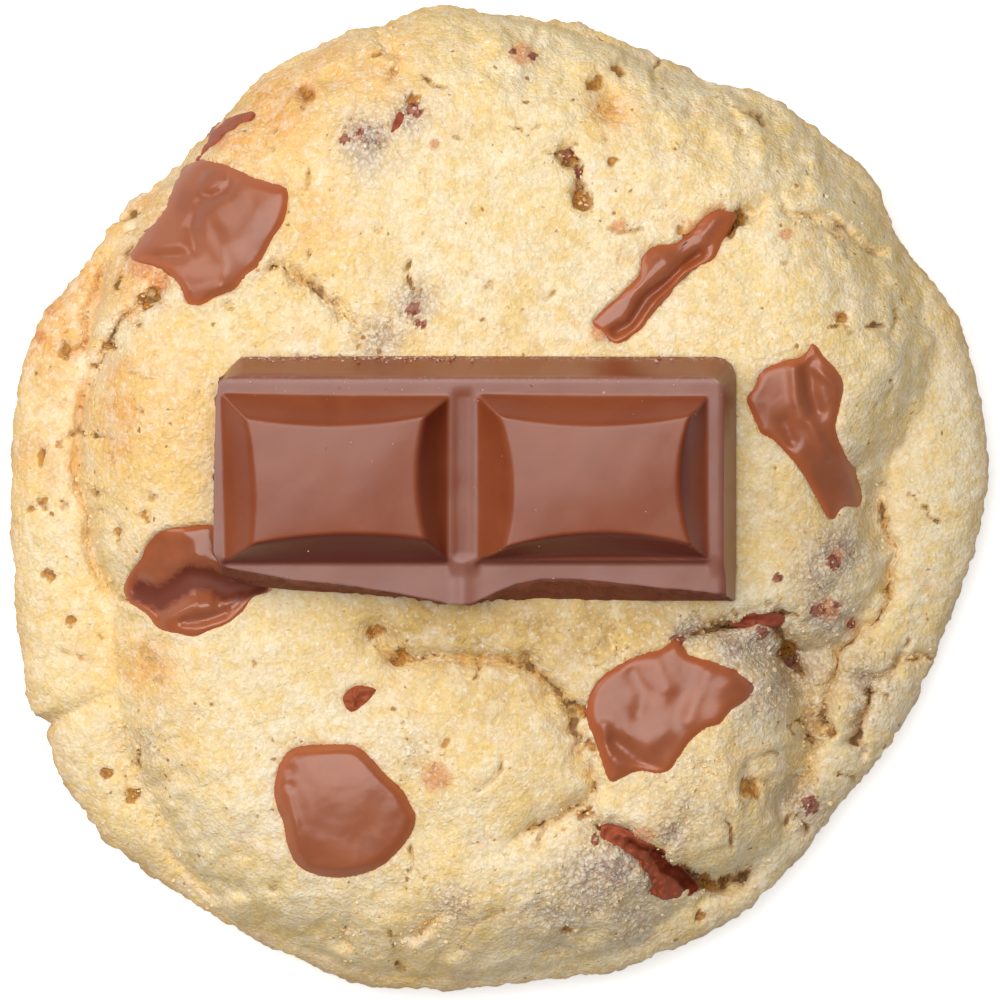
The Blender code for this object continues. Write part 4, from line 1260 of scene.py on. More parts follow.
CHUNKS: tuple[MeltedChunk, ...] = (
    MeltedChunk("chunk_north_west", (-26.6, 25.2), (
        (-27.5, 32.0), (-25.3, 31.5), (-23.5, 30.5), (-21.5, 29.8), (-19.8, 29.3), (-19.4, 28.0),
        (-19.8, 26.0), (-20.8, 24.0), (-22.0, 22.0), (-23.5, 20.5), (-24.5, 19.3), (-26.5, 18.5),
        (-28.0, 17.7), (-29.5, 18.0), (-30.0, 19.5), (-31.0, 21.0), (-32.5, 21.8), (-34.5, 22.5),
        (-33.8, 24.3), (-32.0, 26.5), (-31.0, 28.5), (-30.0, 30.5), (-28.8, 31.6)), 0.55, 1.1, (
        Ripple(((-25.4, 29.3), (-28.2, 27.6), (-28.9, 25.4), (-28.5, 23.4)), -0.45, 0.6),
        Ripple(((-27.6, 26.2), (-26.6, 24.2), (-25.6, 22.0), (-25.9, 20.6)), 0.50, 1.3),
        Ripple(((-23.4, 27.0), (-23.4, 25.0)), 0.4, 2.6),
        Ripple(((-29.2, 19.6), (-26.2, 19.9)), 0.4, 0.9),
        Ripple(((-33.4, 22.6), (-29.8, 22.8)), -0.5, 0.6),
        Ripple(((-33.0, 24.2), (-30.2, 23.9)), 0.35, 0.9),
        Ripple(((-28.4, 29.8), (-27.9, 30.9), (-26.8, 31.3), (-25.7, 30.9), (-25.2, 29.8), (-25.8, 28.7),
                (-26.8, 28.3), (-27.9, 28.7), (-28.4, 29.8)), -0.24, 0.38),
        Ripple(((-27.2, 29.9), (-26.5, 29.6)), 0.16, 0.8)), tilt=(-0.09, 0.09)),
    MeltedChunk("chunk_south_west", (-14.6, -29.2), (
        (-19.0, -23.2), (-16.5, -22.9), (-13.5, -23.0), (-12.0, -24.0), (-10.5, -25.7), (-9.0, -27.2),
        (-8.0, -29.0), (-7.6, -30.0), (-8.0, -31.5), (-9.0, -33.0), (-10.5, -34.5), (-13.0, -35.5),
        (-15.5, -35.8), (-18.0, -35.3), (-19.3, -34.2), (-20.0, -32.5), (-20.3, -30.5), (-21.0, -29.0),
        (-21.3, -27.3), (-21.0, -25.5), (-20.2, -24.0)), 0.9, 1.4, (
        Ripple(((-19.8, -27.5), (-19.0, -31.0), (-18.0, -34.4)), 0.16, 0.5),
        Ripple(((-16.6, -30.4), (-15.0, -28.6)), -0.07, 1.3),
        Ripple(((-12.2, -30.2), (-11.3, -28.8)), -0.07, 1.4),
        Ripple(((-15.4, -27.6), (-15.2, -27.8)), 0.8, 6.0),
        Ripple(((-19.6, -25.4), (-19.6, -25.5)), -0.18, 0.5),
        Ripple(((-19.6, -27.0), (-19.6, -27.1)), -0.15, 0.4))),
    MeltedChunk("chunk_east", (29.2, 7.2), (
        (29.5, 14.8), (30.8, 13.3), (32.0, 12.0), (32.6, 10.5), (32.3, 8.5), (32.0, 6.5),
        (32.8, 4.5), (33.8, 2.5), (34.4, 0.3), (34.0, -1.0), (32.5, -1.2), (31.8, -2.2),
        (31.0, -2.3), (30.3, -1.5), (29.5, 0.0), (28.5, 2.0), (27.0, 4.0), (25.5, 5.3),
        (24.3, 6.0), (23.7, 7.3), (23.0, 9.3), (23.8, 10.8), (24.5, 12.2), (26.5, 13.0), (28.5, 13.5)),
        0.55, 1.1, (
        Ripple(((27.7, 12.8), (28.0, 9.5), (28.4, 7.7)), 0.4, 0.7),
        Ripple(((29.2, 12.6), (29.3, 10.0), (29.9, 8.2)), -0.6, 0.8),
        Ripple(((28.8, 12.9), (31.3, 10.9), (32.2, 9.8)), 0.28, 0.45),
        Ripple(((29.3, 7.0), (30.8, 3.9)), 0.35, 0.55),
        Ripple(((26.8, 7.0), (27.5, 5.4)), -0.45, 0.7),
        Ripple(((23.4, 8.3), (24.2, 6.8)), -0.3, 0.5),
        Ripple(((32.4, 2.4), (33.0, 0.4)), 0.35, 1.0))),
    MeltedChunk("chunk_south_east", (15.4, -19.6), (
        (16.8, -13.2), (18.0, -14.5), (20.0, -15.0), (22.0, -15.8), (23.5, -16.8), (24.3, -17.6),
        (23.5, -19.0), (22.0, -20.0), (21.0, -21.3), (19.5, -21.8), (18.3, -22.8), (17.3, -24.2),
        (16.2, -25.6), (15.0, -26.0), (13.3, -25.8), (12.0, -26.2), (10.7, -26.8), (10.0, -26.0),
        (9.5, -24.5), (9.0, -22.8), (8.3, -21.0), (8.3, -19.0), (8.9, -17.3), (10.0, -16.2),
        (11.5, -15.3), (13.0, -14.5), (15.0, -13.9)), 0.55, 1.1, (
        Ripple(((10.6, -19.2), (12.0, -20.8), (12.2, -22.0)), 0.12, 0.8),
        Ripple(((9.95, -21.4), (10.2, -24.0), (11.2, -24.9)), 0.25, 0.6),
        Ripple(((10.9, -22.8), (13.4, -24.7), (15.1, -25.6)), -0.45, 0.7),
        Ripple(((12.6, -16.4), (13.6, -18.2), (13.2, -20.2)), -0.22, 0.8),
        Ripple(((19.6, -16.4), (18.6, -18.6), (17.8, -20.8)), 0.26, 0.8),
        Ripple(((14.2, -22.8), (15.2, -22.2)), 0.25, 1.2),
        Ripple(((17.0, -19.4), (18.4, -17.8)), -0.25, 1.8),
        Ripple(((14.9, -15.6), (15.8, -17.9)), 0.14, 0.7),
        Ripple(((20.6, -17.6), (22.0, -17.0)), 0.2, 1.3))),
    MeltedChunk("chunk_north_east", (15.4, 20.8), (
        (8.5, 16.5), (9.8, 18.0), (11.5, 19.5), (12.8, 21.0), (13.2, 22.8), (14.5, 24.0),
        (16.5, 24.3), (18.2, 25.5), (19.5, 27.0), (21.0, 27.5), (22.3, 26.8), (21.8, 25.3),
        (21.0, 24.0), (20.5, 22.5), (19.0, 21.7), (17.5, 20.8), (16.3, 19.3), (15.0, 17.8),
        (13.8, 16.3), (12.3, 15.0), (11.0, 14.4), (10.0, 15.2)), 0.15, 0.8, (
        Ripple(((10.5, 15.3), (12.4, 16.3), (14.0, 18.8), (16.3, 20.5), (17.9, 22.1), (18.9, 22.9)),
               -1.1, 0.5),
        Ripple(((13.9, 17.2), (15.0, 18.8), (16.6, 20.1), (17.6, 21.3)), 0.45, 0.5),
        Ripple(((12.6, 19.6), (14.6, 21.2), (15.6, 22.2)), 0.4, 1.0),
        Ripple(((19.4, 25.0), (20.4, 26.2)), 0.4, 0.8)), hollow=0.4, wet=0.8),
    MeltedChunk("chunk_west", (-28.4, -7.4), (
        (-31.5, -2.5), (-29.0, -2.2), (-26.5, -2.2), (-24.0, -4.0), (-22.5, -6.5), (-21.0, -8.3),
        (-21.5, -9.0), (-23.0, -9.5), (-24.0, -10.8), (-25.5, -12.0), (-27.0, -12.5), (-28.5, -13.0),
        (-30.0, -12.8), (-32.0, -12.3), (-33.0, -11.0), (-34.5, -10.0), (-35.3, -8.8), (-35.0, -7.0),
        (-34.0, -5.5), (-33.2, -3.8)), 0.2, 1.0, (
        Ripple(((-32.2, -4.4), (-31.6, -6.3)), -0.3, 0.9),
        Ripple(((-33.4, -8.8), (-32.0, -9.4), (-30.6, -8.6), (-28.8, -7.4), (-27.2, -7.6), (-25.4, -8.6),
                (-22.8, -8.4)), -0.95, 1.7),
        Ripple(((-30.6, -6.2), (-28.4, -5.6), (-26.6, -6.2)), 0.35, 0.9),
        Ripple(((-31.0, -11.2), (-29.0, -10.2), (-27.2, -9.9)), 0.45, 0.7),
        Ripple(((-29.4, -11.6), (-27.4, -11.4), (-25.6, -10.8)), -0.45, 0.5),
        Ripple(((-25.6, -9.8), (-24.4, -9.2)), 0.4, 0.5),
        Ripple(((-29.0, -3.6), (-27.6, -3.8)), 0.2, 1.4)), hollow=0.9, wet=1.0, tilt=(0.0, -0.08)),
    MeltedChunk("chunk_south", (14.6, -34.4), (
        (9.5, -30.8), (11.0, -30.7), (12.8, -31.5), (14.5, -32.5), (16.3, -33.7), (18.3, -35.6),
        (18.7, -36.6), (17.2, -37.7), (15.5, -38.0), (14.2, -37.2), (13.6, -35.6), (12.0, -33.6),
        (10.0, -32.5)), -0.7, 0.7, (
        Ripple(((14.9, -33.4), (15.6, -34.6), (17.0, -35.3), (18.2, -36.6)), -1.3, 0.85),
        Ripple(((12.3, -32.2), (13.4, -32.9), (14.0, -33.0)), -0.7, 0.4),
        Ripple(((11.2, -31.4), (12.0, -31.9)), 0.6, 0.6),
        Ripple(((14.8, -37.4), (17.0, -37.7)), 0.7, 0.5)), hollow=1.0, dark=0.6, sunken=True),
    MeltedChunk("chip_north_west", (-25.6, 34.6), (
        (-28.6, 31.9), (-27.6, 34.0), (-26.6, 35.3), (-25.0, 36.2), (-23.2, 36.5), (-22.9, 35.8),
        (-24.3, 34.8), (-25.7, 33.7), (-27.3, 32.5), (-28.2, 31.7)), 0.8, 0.6,
        cells=40, sink=1.2, dark=0.5, sunken=True),
    MeltedChunk("chip_north", (-9.6, 35.3), (
        (-10.4, 34.2), (-9.4, 34.4), (-8.6, 36.0), (-9.6, 36.6)), 0.1, 0.5,
        cells=20, sink=1.2, dark=0.8, sunken=True),
    MeltedChunk("chip_south_west", (-13.2, -18.8), (
        (-14.8, -18.6), (-14.0, -20.2), (-12.6, -19.6), (-11.3, -17.9), (-13.4, -17.4)),
        0.45, 0.6, (Ripple(((-13.6, -18.4), (-12.6, -18.8)), -0.3, 0.4),),
        cells=28, sink=1.2, dark=0.5, sunken=True),
    MeltedChunk("chip_south_east", (24.2, -11.5), (
        (21.8, -11.9), (24.6, -12.2), (26.8, -11.8), (26.4, -10.8), (23.6, -10.7)), -0.3, 0.5, (
        Ripple(((22.6, -11.4), (25.8, -11.5)), -0.4, 0.5),),
        cells=24, sink=1.2, hollow=0.6, dark=0.9, sunken=True),
)

# No chunk reaches further than this from its middle, in millimetres.
CHUNK_REACH = 14.0


def over_chunks(x: np.ndarray, y: np.ndarray, profile: Callable[[np.ndarray], np.ndarray]) -> np.ndarray:
    """Measures places against every chunk.

    Args:
        x: The places' first coordinates.
        y: Their second coordinates.
        profile: Gives a value from 0 to 1 for a depth inside a chunk's outline.

    Returns:
        The largest value at each place.
    """
    most = np.zeros(len(x))
    for chunk in CHUNKS:
        near = np.hypot(x - chunk.centre[0], y - chunk.centre[1]) < CHUNK_REACH
        depth = chunk.border().depth(x[near], y[near])
        most[near] = np.maximum(most[near], profile(depth))
    return most


# The dough.


@dataclass
class Cookie:
    """The dough: crust, side and flat underside in one closed form, with its relief and its masks."""

    crust: Crust = field(default_factory=Crust)
    cells: int = 284
    side_rings: int = 8
    under_shares: tuple[float, ...] = (0.97, 0.80, 0.5, 0.2)
    undercut: float = 2.4
    crowding: float = 1.2
    pocket: float = 1.9
    pit_depth: float = 0.45
    split_depth: float = 0.30
    pit_count: int = 70
    split_count: int = 80
    seed: int = 5

    def build(self, finish: bpy.types.Material) -> bpy.types.Object:
        """Makes the dough.

        Args:
            finish: Its material.

        Returns:
            The dough's object.
        """
        obj = finish_mesh("dough", unit_disc(self.cells, self.side_rings + len(self.under_shares)), 180.0)
        unit = vertex_places(obj.data)
        angle, share = round_the_disc(unit)
        ring = np.rint(-unit[:, 2]).astype(int)
        circle = flat_places(np.cos(angle), np.sin(angle)) * 40
        ragged_rim = (0.20 * uneven(circle, 3.0, 11.1) + 0.13 * uneven(circle, 1.1, 12.1)
                      + 0.10 * uneven(circle, 0.55, 13.1) - 0.25)
        radius = self.crust.cookie.radius(angle) + ragged_rim

        reach = radius * (1 - (1 - share) ** self.crowding)
        turn = np.clip(ring / self.side_rings, 0, 1) * math.pi / 2
        turned_in = self.side_rings + np.arange(len(self.under_shares) + 1)
        under = np.interp(ring, turned_in, (1.0, *self.under_shares))
        side = (radius - self.undercut * (1 - np.cos(turn))) * under
        reach = np.where(ring > 0, side, reach)
        x, y = reach * np.cos(angle), reach * np.sin(angle)
        top, crack = self.crust.creased(x, y)
        pocket = over_chunks(x, y, lambda depth: ramp(depth, 0.1, 1.0))
        rim = self.crust.calm(radius * np.cos(angle), radius * np.sin(angle))
        wall = np.minimum(rim, self.crust.rim_height) * (1 - np.sin(turn))
        z = np.where(ring > 0, wall, top - self.pocket * pocket)
        move_vertices(obj.data, np.stack([x, y, z], axis=1))

        masks = self._roughen(obj.data, ring, pocket, crack)
        self._keep_in_box(obj.data)
        paint(obj.data, **masks)
        obj.data.materials.append(finish)
        place_piece(obj, Slot.DOUGH.value, "cookie")
        return obj

    def _roughen(self, mesh: bpy.types.Mesh, ring: np.ndarray, pocket: np.ndarray,
                 crack: np.ndarray) -> dict[str, np.ndarray]:
        """Raises the crust's relief and works out where its colours lie.

        Args:
            mesh: The dough's mesh, with its main form.
            ring: The number of each vertex's ring, 0 on the crust.
            pocket: How deep in a chunk's pocket each vertex is.
            crack: How deep in a crack each vertex is.

        Returns:
            The masks to paint on it, by name.
        """
        places, normals = vertex_places(mesh), vertex_normals(mesh)
        x, y = places[:, 0], places[:, 1]
        lumps = (0.20 * uneven(places, 6.5, 20.1) + 0.07 * uneven(places, 2.9, 21.1)
                 + 0.05 * uneven(places, 1.5, 22.1) + 0.06 * uneven(places, 0.8, 23.1))
        calm = 1 - 0.7 * pocket
        bottom = np.clip(places[:, 2] / 2.0, 0, 1)
        pits, splits = self._pits(x, y), self._splits(x, y)
        stain = patches(x, y, STAINS, 2.2)
        rubble = np.maximum(ramp(crack, 0.05, 0.6), stain)
        lumps += 0.18 * rubble * uneven(places, 0.9, 24.1)
        relief = lumps * calm - self.pit_depth * pits - self.split_depth * splits**3
        relief *= bottom * np.where(ring > self.side_rings, 0.0, 1.0)
        places += normals * relief[:, None]
        places[:, 2] = np.maximum(places[:, 2], 0.0)
        places[ring >= self.side_rings, 2] = 0.0
        move_vertices(mesh, places)

        toast = patches(x, y, TOASTED, 2.4)
        low = 1 - ramp(places[:, 2], 3.0, 8.5)
        rim_side = 0.35 + 0.35 * ramp(-x, -10, 40)
        toast = np.maximum(toast, rim_side * low + np.where(places[:, 2] < 1.0, 0.6, 0.0))
        near_chunk = over_chunks(x, y, lambda depth: np.exp(-((depth / 0.9) ** 2)))
        stain = np.maximum(stain, 0.15 * near_chunk)
        ragged_x, ragged_y = x + 0.25 * uneven(places, 0.8, 25.1), y + 0.25 * uneven(places, 0.8, 26.1)
        fleck = patches(ragged_x, ragged_y, FLECKS, 4.0)
        return {
            # The cracks, which the finish paints darker: partly their own colour, partly painted shade.
            "gap": np.maximum(crack, 0.75 * splits),
            "pit": pits,
            "toast": toast,
            "stain": stain,
            "rust": np.maximum(patches(x, y, RUSTY, 2.4), 0.30 * near_chunk**2),
            "warm": patches(x, y, WARM, 2.0),
            "pale": patches(x, y, PALE, 2.2),
            # Where the painted shadow below the bar lies.
            "painted_shade": patches(x, y, PAINTED_SHADE_PATCHES, 2.2),
            "fleck": ramp(fleck, 0.35, 0.7),
        }

    def _pits(self, x: np.ndarray, y: np.ndarray) -> np.ndarray:
        """Makes small pits: the ones that show most in their places, and more at random.

        Args:
            x: The places' first coordinates.
            y: Their second coordinates.

        Returns:
            How deep in a pit each place is, from 0 to 1.
        """
        draw = np.random.default_rng(self.seed)
        spread = 44 * np.sqrt(draw.random(self.pit_count))
        turn = draw.random(self.pit_count) * 2 * math.pi
        size = 0.30 + 0.35 * draw.random(self.pit_count) ** 2
        scattered = tuple(Patch((r * math.cos(a), r * math.sin(a)), s, 0.45 + 0.4 * s)
                          for r, a, s in zip(spread, turn, size))
        flat = flat_places(x, y)
        ragged_x = x + 0.5 * uneven(flat, 1.1, 30.1, 3.0)
        ragged_y = y + 0.5 * uneven(flat, 1.1, 31.1, 3.0)
        return patches(ragged_x, ragged_y, PITS + scattered, 3.0)

    def _splits(self, x: np.ndarray, y: np.ndarray) -> np.ndarray:
        """Makes short fine splits at random, mostly towards the edge.

        Args:
            x: The places' first coordinates.
            y: Their second coordinates.

        Returns:
            How near to the middle of a split each place is, from 0 to 1.
        """
        draw = np.random.default_rng(self.seed + 1)
        flat = flat_places(x, y)
        wander_x = x + 0.3 * uneven(flat, 1.0, 32.1)
        wander_y = y + 0.3 * uneven(flat, 1.0, 33.1)
        cover = np.zeros(len(x))
        for _ in range(self.split_count):
            reach, turn = 43 * draw.random() ** 0.4, draw.random() * 2 * math.pi
            heading = turn + math.pi / 2 + draw.normal() * 0.7
            places = [(reach * math.cos(turn), reach * math.sin(turn))]
            for _ in range(draw.integers(3, 7)):
                heading += draw.normal() * 0.55
                last_x, last_y = places[-1]
                places.append((last_x + 1.1 * math.cos(heading), last_y + 1.1 * math.sin(heading)))
            near = np.hypot(x - places[0][0], y - places[0][1]) < 10
            distance, _, from_end = line_distance(wander_x[near], wander_y[near], tuple(places))
            fade = np.clip(from_end / 1.2, 0, 1)
            cover[near] = np.maximum(cover[near], fade * np.clip(1 - distance / 0.9, 0, 1))
        return cover

    def _keep_in_box(self, mesh: bpy.types.Mesh) -> None:
        """Holds the dough inside its CAD node's box."""
        low, high = (np.array(corner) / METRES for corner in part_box("cookie"))
        move_vertices(mesh, np.clip(vertex_places(mesh), low, high))


# The piece of bar.


@dataclass(frozen=True)
class Square:
    """One raised square of the bar as seen from above: its foot's and its plateau's corners and middles.

    Corners go top left, top right, bottom right, bottom left. Middles go top, right, bottom, left, where
    the plateau's sides bow inwards.
    """

    foot: tuple[Place, Place, Place, Place]
    plateau: tuple[Place, Place, Place, Place]
    middles: tuple[float, float, float, float]


@dataclass
class BarPiece:
    """Two squares of moulded chocolate, snapped off a bar at the left and below.

    Its edges, bases and squares are drawn as they are seen from above, once it leans on its seat.
    """

    lean: float = math.radians(6.0)
    seat: float = 19.3
    centre_y: float = 2.0
    lift: float = 0.3
    thickness: float = 5.6
    rise: float = 3.0
    crown: float = 0.40
    step: float = 0.35
    foot_round: float = 0.22
    groove_x: float = -3.3
    far_side: float = 11.45
    right_side: float = 21.2
    spans: tuple[Place, Place] = ((-25.7, -4.6), (-1.9, 19.7))
    across: int = 236
    along: int = 112
    wall_rings: int = 9
    squares: tuple[Square, Square] = (
        Square(((-26.0, 9.9), (-4.7, 9.6), (-4.8, -5.8), (-25.6, -5.8)),
               ((-23.8, 7.6), (-6.8, 7.8), (-6.8, -3.9), (-23.2, -4.4)), (6.9, -7.6, -3.4, -23.0)),
        Square(((-1.9, 9.8), (19.5, 9.6), (19.6, -5.5), (-1.9, -5.6)),
               ((0.0, 7.8), (18.0, 7.8), (18.0, -4.4), (0.5, -4.7)), (6.9, 16.9, -3.3, 1.2)),
    )
    top_edge: Line = ((-26.2, 10.9), (-25.4, 11.35), (-24.4, 11.5), (-10.0, 11.4), (0.0, 11.4), (12.0, 11.4),
                      (19.6, 11.4), (20.2, 11.25), (20.75, 10.85))
    top_base: Line = ((-25.8, 11.5), (-25.1, 12.4), (-24.1, 13.3), (-10.0, 13.35), (0.0, 13.35), (12.0, 13.3),
                      (20.4, 13.3), (21.3, 13.05), (21.9, 12.5))
    right_edge: Line = ((20.75, 10.85), (21.05, 10.3), (21.15, 9.6), (21.1, 0.0), (21.1, -6.0), (21.2, -9.0))
    right_base: Line = ((21.9, 12.5), (22.2, 11.8), (22.3, 10.9), (22.3, 0.0), (22.3, -6.0), (22.2, -9.6))
    lower_edge: Line = ((-26.0, -6.4), (-23.0, -6.9), (-19.3, -7.6), (-14.4, -8.1), (-9.3, -8.9),
                        (-6.2, -9.5), (-4.6, -9.9), (-2.6, -9.9), (-1.3, -9.3), (-0.1, -8.7), (1.6, -8.0),
                        (4.2, -7.5), (6.8, -7.5), (9.4, -7.7), (15.5, -8.4), (18.1, -8.6), (21.2, -9.0))
    lower_base: Line = ((-25.6, -7.4), (-23.0, -8.2), (-19.3, -8.6), (-14.4, -8.9), (-9.3, -9.3),
                        (-6.2, -9.6), (-4.6, -9.7), (-2.6, -9.7), (-1.3, -9.5), (-0.1, -9.5), (1.6, -9.5),
                        (4.2, -9.5), (6.8, -9.5), (9.4, -9.6), (15.5, -9.6), (18.1, -9.6), (22.2, -9.6))
    left_edge: Line = ((-26.2, 10.9), (-26.5, 9.0), (-26.7, 0.0), (-26.7, -5.0), (-26.0, -6.4))
    left_base: Line = ((-25.8, 11.5), (-26.1, 9.0), (-26.0, 0.0), (-26.0, -5.5), (-25.6, -7.4))

    def build(self, finish: bpy.types.Material) -> bpy.types.Object:
        """Makes the piece of bar.

        Args:
            finish: Its material.

        Returns:
            Its object, leaning on its seat in the crown.
        """
        bm = bmesh.new()
        bmesh.ops.create_grid(bm, x_segments=self.across, y_segments=self.along, size=1.0)
        hang_wall(bm, self.wall_rings)
        obj = finish_mesh("bar_squares", bm, 50.0)
        unit = vertex_places(obj.data)
        places, masks = self._shape(unit)
        move_vertices(obj.data, self._seated(places))
        normals = vertex_normals(obj.data)
        # Painted shade: slopes that face right and down, away from the light, are marked for the finish to
        # darken.
        lee = ramp(0.6 * normals[:, 0] - 0.8 * normals[:, 1], 0.20, 0.62) * (unit[:, 2] > -0.5)
        end_slope = ramp(places[:, 0], 17.2, 18.2) * (normals[:, 0] > 0.3)
        paint(obj.data, **masks, lee=lee * (1 - 0.55 * end_slope))
        obj.data.materials.append(finish)
        place_piece(obj, Slot.MOULDED.value, "bar_piece")
        return obj

    def _laid_flat(self, seen: np.ndarray, height: np.ndarray | float) -> np.ndarray:
        """Second coordinates as seen from above, turned back to the flat piece's own, at a height in it."""
        return self.centre_y + (seen - self.centre_y + height * math.sin(self.lean)) / math.cos(self.lean)

    def _seated(self, places: np.ndarray) -> np.ndarray:
        """Leans the flat piece's places and sets them on its seat."""
        y, z = places[:, 1] - self.centre_y, places[:, 2]
        return np.stack([
            places[:, 0],
            self.centre_y + y * math.cos(self.lean) - z * math.sin(self.lean),
            self.seat + y * math.sin(self.lean) + z * math.cos(self.lean)], axis=1)

    @staticmethod
    def _along(line: Line, share: np.ndarray) -> np.ndarray:
        """Finds places along a bent line.

        Args:
            line: The line's points.
            share: How far along it each place is, from 0 to 1.

        Returns:
            The places, one row of x and y each.
        """
        points = np.array(line, float)
        steps = np.concatenate([[0.0], np.cumsum(np.hypot(*np.diff(points, axis=0).T))])
        return np.stack([np.interp(share * steps[-1], steps, points[:, k]) for k in (0, 1)], axis=1)

    def _spread(self, sides: tuple[Line, Line, Line, Line], u: np.ndarray, v: np.ndarray) -> np.ndarray:
        """Stretches the unit square between four bent sides.

        Args:
            sides: The lower, upper, left and right sides.
            u: The first coordinate in the square, from 0 to 1.
            v: The second coordinate in the square, from 0 to 1.

        Returns:
            The places, one row of x and y each.
        """
        lower, upper, left, right = sides
        low, high = self._along(lower, u), self._along(upper, u)
        near, far = self._along(left[::-1], v), self._along(right[::-1], v)
        a, b = u[:, None], v[:, None]
        corners = [np.array(p, float) for p in (lower[0], lower[-1], upper[0], upper[-1])]
        bilinear = ((1 - a) * (1 - b) * corners[0] + a * (1 - b) * corners[1]
                    + (1 - a) * b * corners[2] + a * b * corners[3])
        return (1 - b) * low + b * high + (1 - a) * near + a * far - bilinear

    def _shape(self, unit: np.ndarray) -> tuple[np.ndarray, dict[str, np.ndarray]]:
        """Shapes the flat piece.

        Args:
            unit: The vertices of the grid and of the rings hung from it.

        Returns:
            Their places in the flat piece, and the masks to paint on it.
        """
        u, v = (unit[:, 0] + 1) / 2, (unit[:, 1] + 1) / 2
        ring = np.rint(-unit[:, 2])
        on_edge = self._spread((self.lower_edge, self.top_edge, self.left_edge, self.right_edge), u, v)
        on_base = self._spread((self.lower_base, self.top_base, self.left_base, self.right_base), u, v)
        height, groove, border = self._top_height(on_edge[:, 0], on_edge[:, 1])
        down = np.clip(ring / self.wall_rings, 0, 1)
        top = self.lift + self.thickness + np.where(ring > 0, 0.0, height)
        snapped = np.maximum(1 - ramp(v, 0.0, 0.02), 1 - ramp(u, 0.0, 0.012)) * np.where(ring > 0, 1.0, 0.0)
        snapped *= 1 - ramp(u, 0.992, 1.0)
        rounding = np.exp(-(ring / 0.9)) * np.where(ring > 0, 1.0, 0.0)
        share = down ** 1.1
        seen = on_edge * (1 - share[:, None]) + on_base * share[:, None]
        z = top * (1 - down) + self.lift * down
        z = np.where(ring > 0, z - 0.12 * rounding, z)
        x = seen[:, 0]
        y = self._laid_flat(seen[:, 1], z)
        places = np.stack([x, y, z], axis=1)
        torn = 0.34 * uneven(places, 1.6, 40.1) + 0.16 * uneven(places, 0.6, 41.1)
        middle_down = snapped * np.sin(np.clip(down, 0, 1) * math.pi) ** 0.5
        places[:, 0] += np.where(u < 0.01, torn * middle_down, 0.0)
        places[:, 1] += np.where(v < 0.02, torn * middle_down, 0.0)
        foot_dust = np.where(ring > 0, ramp(down, 0.7, 1.0), 0.0) * ramp(v, 0.98, 1.0)
        scuff = np.maximum(0.9 * foot_dust, 0.3 * np.exp(-(ring**2) / 2) * np.where(v > 0.98, 0.4, 0.0))
        return places, {"fracture": snapped * ramp(down, 0.04, 0.2), "scuff": scuff,
                        "groove": np.where(ring > 0, 0.0, groove), "border": np.where(ring > 0, 0.0, border)}

    def _top_height(self, x: np.ndarray, y: np.ndarray) -> tuple[np.ndarray, np.ndarray, np.ndarray]:
        """Works out the height of the piece's top above its slab.

        Args:
            x: The places' first coordinates.
            y: Their second coordinates as seen from above.

        Returns:
            The height at each place, how deep in the groove between the squares it is, and how much it
            is on the flat border round them.
        """
        raised = np.full(len(x), -9.0)
        crowned = np.zeros(len(x))
        for square in self.squares:
            climb, crown = self._climb(square, x, y)
            raised = np.maximum(raised, climb)
            crowned = np.maximum(crowned, crown)
        lifted = smooth_max(raised, np.zeros(len(x)), self.foot_round)
        filled = np.clip(1 - abs(raised) / self.foot_round, 0, 1) ** 2
        lifted = smooth_min(lifted, np.ones(len(x)), 0.13)
        lifted -= 0.25 * self.foot_round * (raised < self.foot_round) * filled
        off_groove = x - self.groove_x
        groove = np.exp(-(off_groove**4)) * (1 - ramp(y, 9.4, 10.6)) * ramp(y, -6.0, -5.0)
        tongue = np.exp(-((off_groove / 0.8) ** 2)) * (1 - ramp(y, -6.2, -5.2))
        sag = 0.05 * uneven(flat_places(x, y), 6.0, 42.1)
        below = np.zeros(len(x))
        for left, right in self.spans:
            within = ramp(x, left - 0.5, left + 0.3) * (1 - ramp(x, right - 0.3, right + 0.5))
            below = np.maximum(below, within)
        plinth = self.step * (below * ramp(y, -6.25, -5.6) + (1 - below) * ramp(y, -7.6, -5.2) - 1)
        edge = np.minimum(self.far_side - y, self.right_side - x)
        rounding = 0.32 * (shoulder(np.clip(edge, 0, None), 0.7) - 1)
        slopes = (self.rise - self.crown) * np.clip(lifted, 0, None) ** 1.2
        height = (slopes + plinth + 1.15 * self.crown * crowned
                  - 0.14 * groove + 0.16 * tongue + sag + rounding)
        return height, groove, (1 - ramp(raised, -0.12, 0.02)) * (1 - groove)

    @staticmethod
    def _climb(square: Square, x: np.ndarray, y: np.ndarray) -> tuple[np.ndarray, np.ndarray]:
        """Measures places against a square.

        Args:
            square: The square.
            x: The places' first coordinates.
            y: Their second coordinates.

        Returns:
            How far up its slopes each place is, 0 at the foot and 1 at the plateau's edge and more
            inside it, and the plateau's crown, 1 in its middle.
        """
        (ftl, ftr, fbr, fbl), (ptl, ptr, pbr, pbl) = square.foot, square.plateau
        top_mid, right_mid, bottom_mid, left_mid = square.middles

        def straight(at: np.ndarray, start: Place, end: Place, axis: int) -> np.ndarray:
            """The other coordinate on the straight line through two corners."""
            t = (at - start[axis]) / (end[axis] - start[axis])
            return start[1 - axis] * (1 - t) + end[1 - axis] * t

        def bowed(at: np.ndarray, start: Place, end: Place, middle: float, axis: int) -> np.ndarray:
            """The other coordinate on the parabola through two corners and the middle between them."""
            t = np.clip((at - start[axis]) / (end[axis] - start[axis]), -0.15, 1.15)
            bow = middle - 0.5 * (start[1 - axis] + end[1 - axis])
            return straight(at, start, end, axis) + bow * 4 * t * (1 - t)

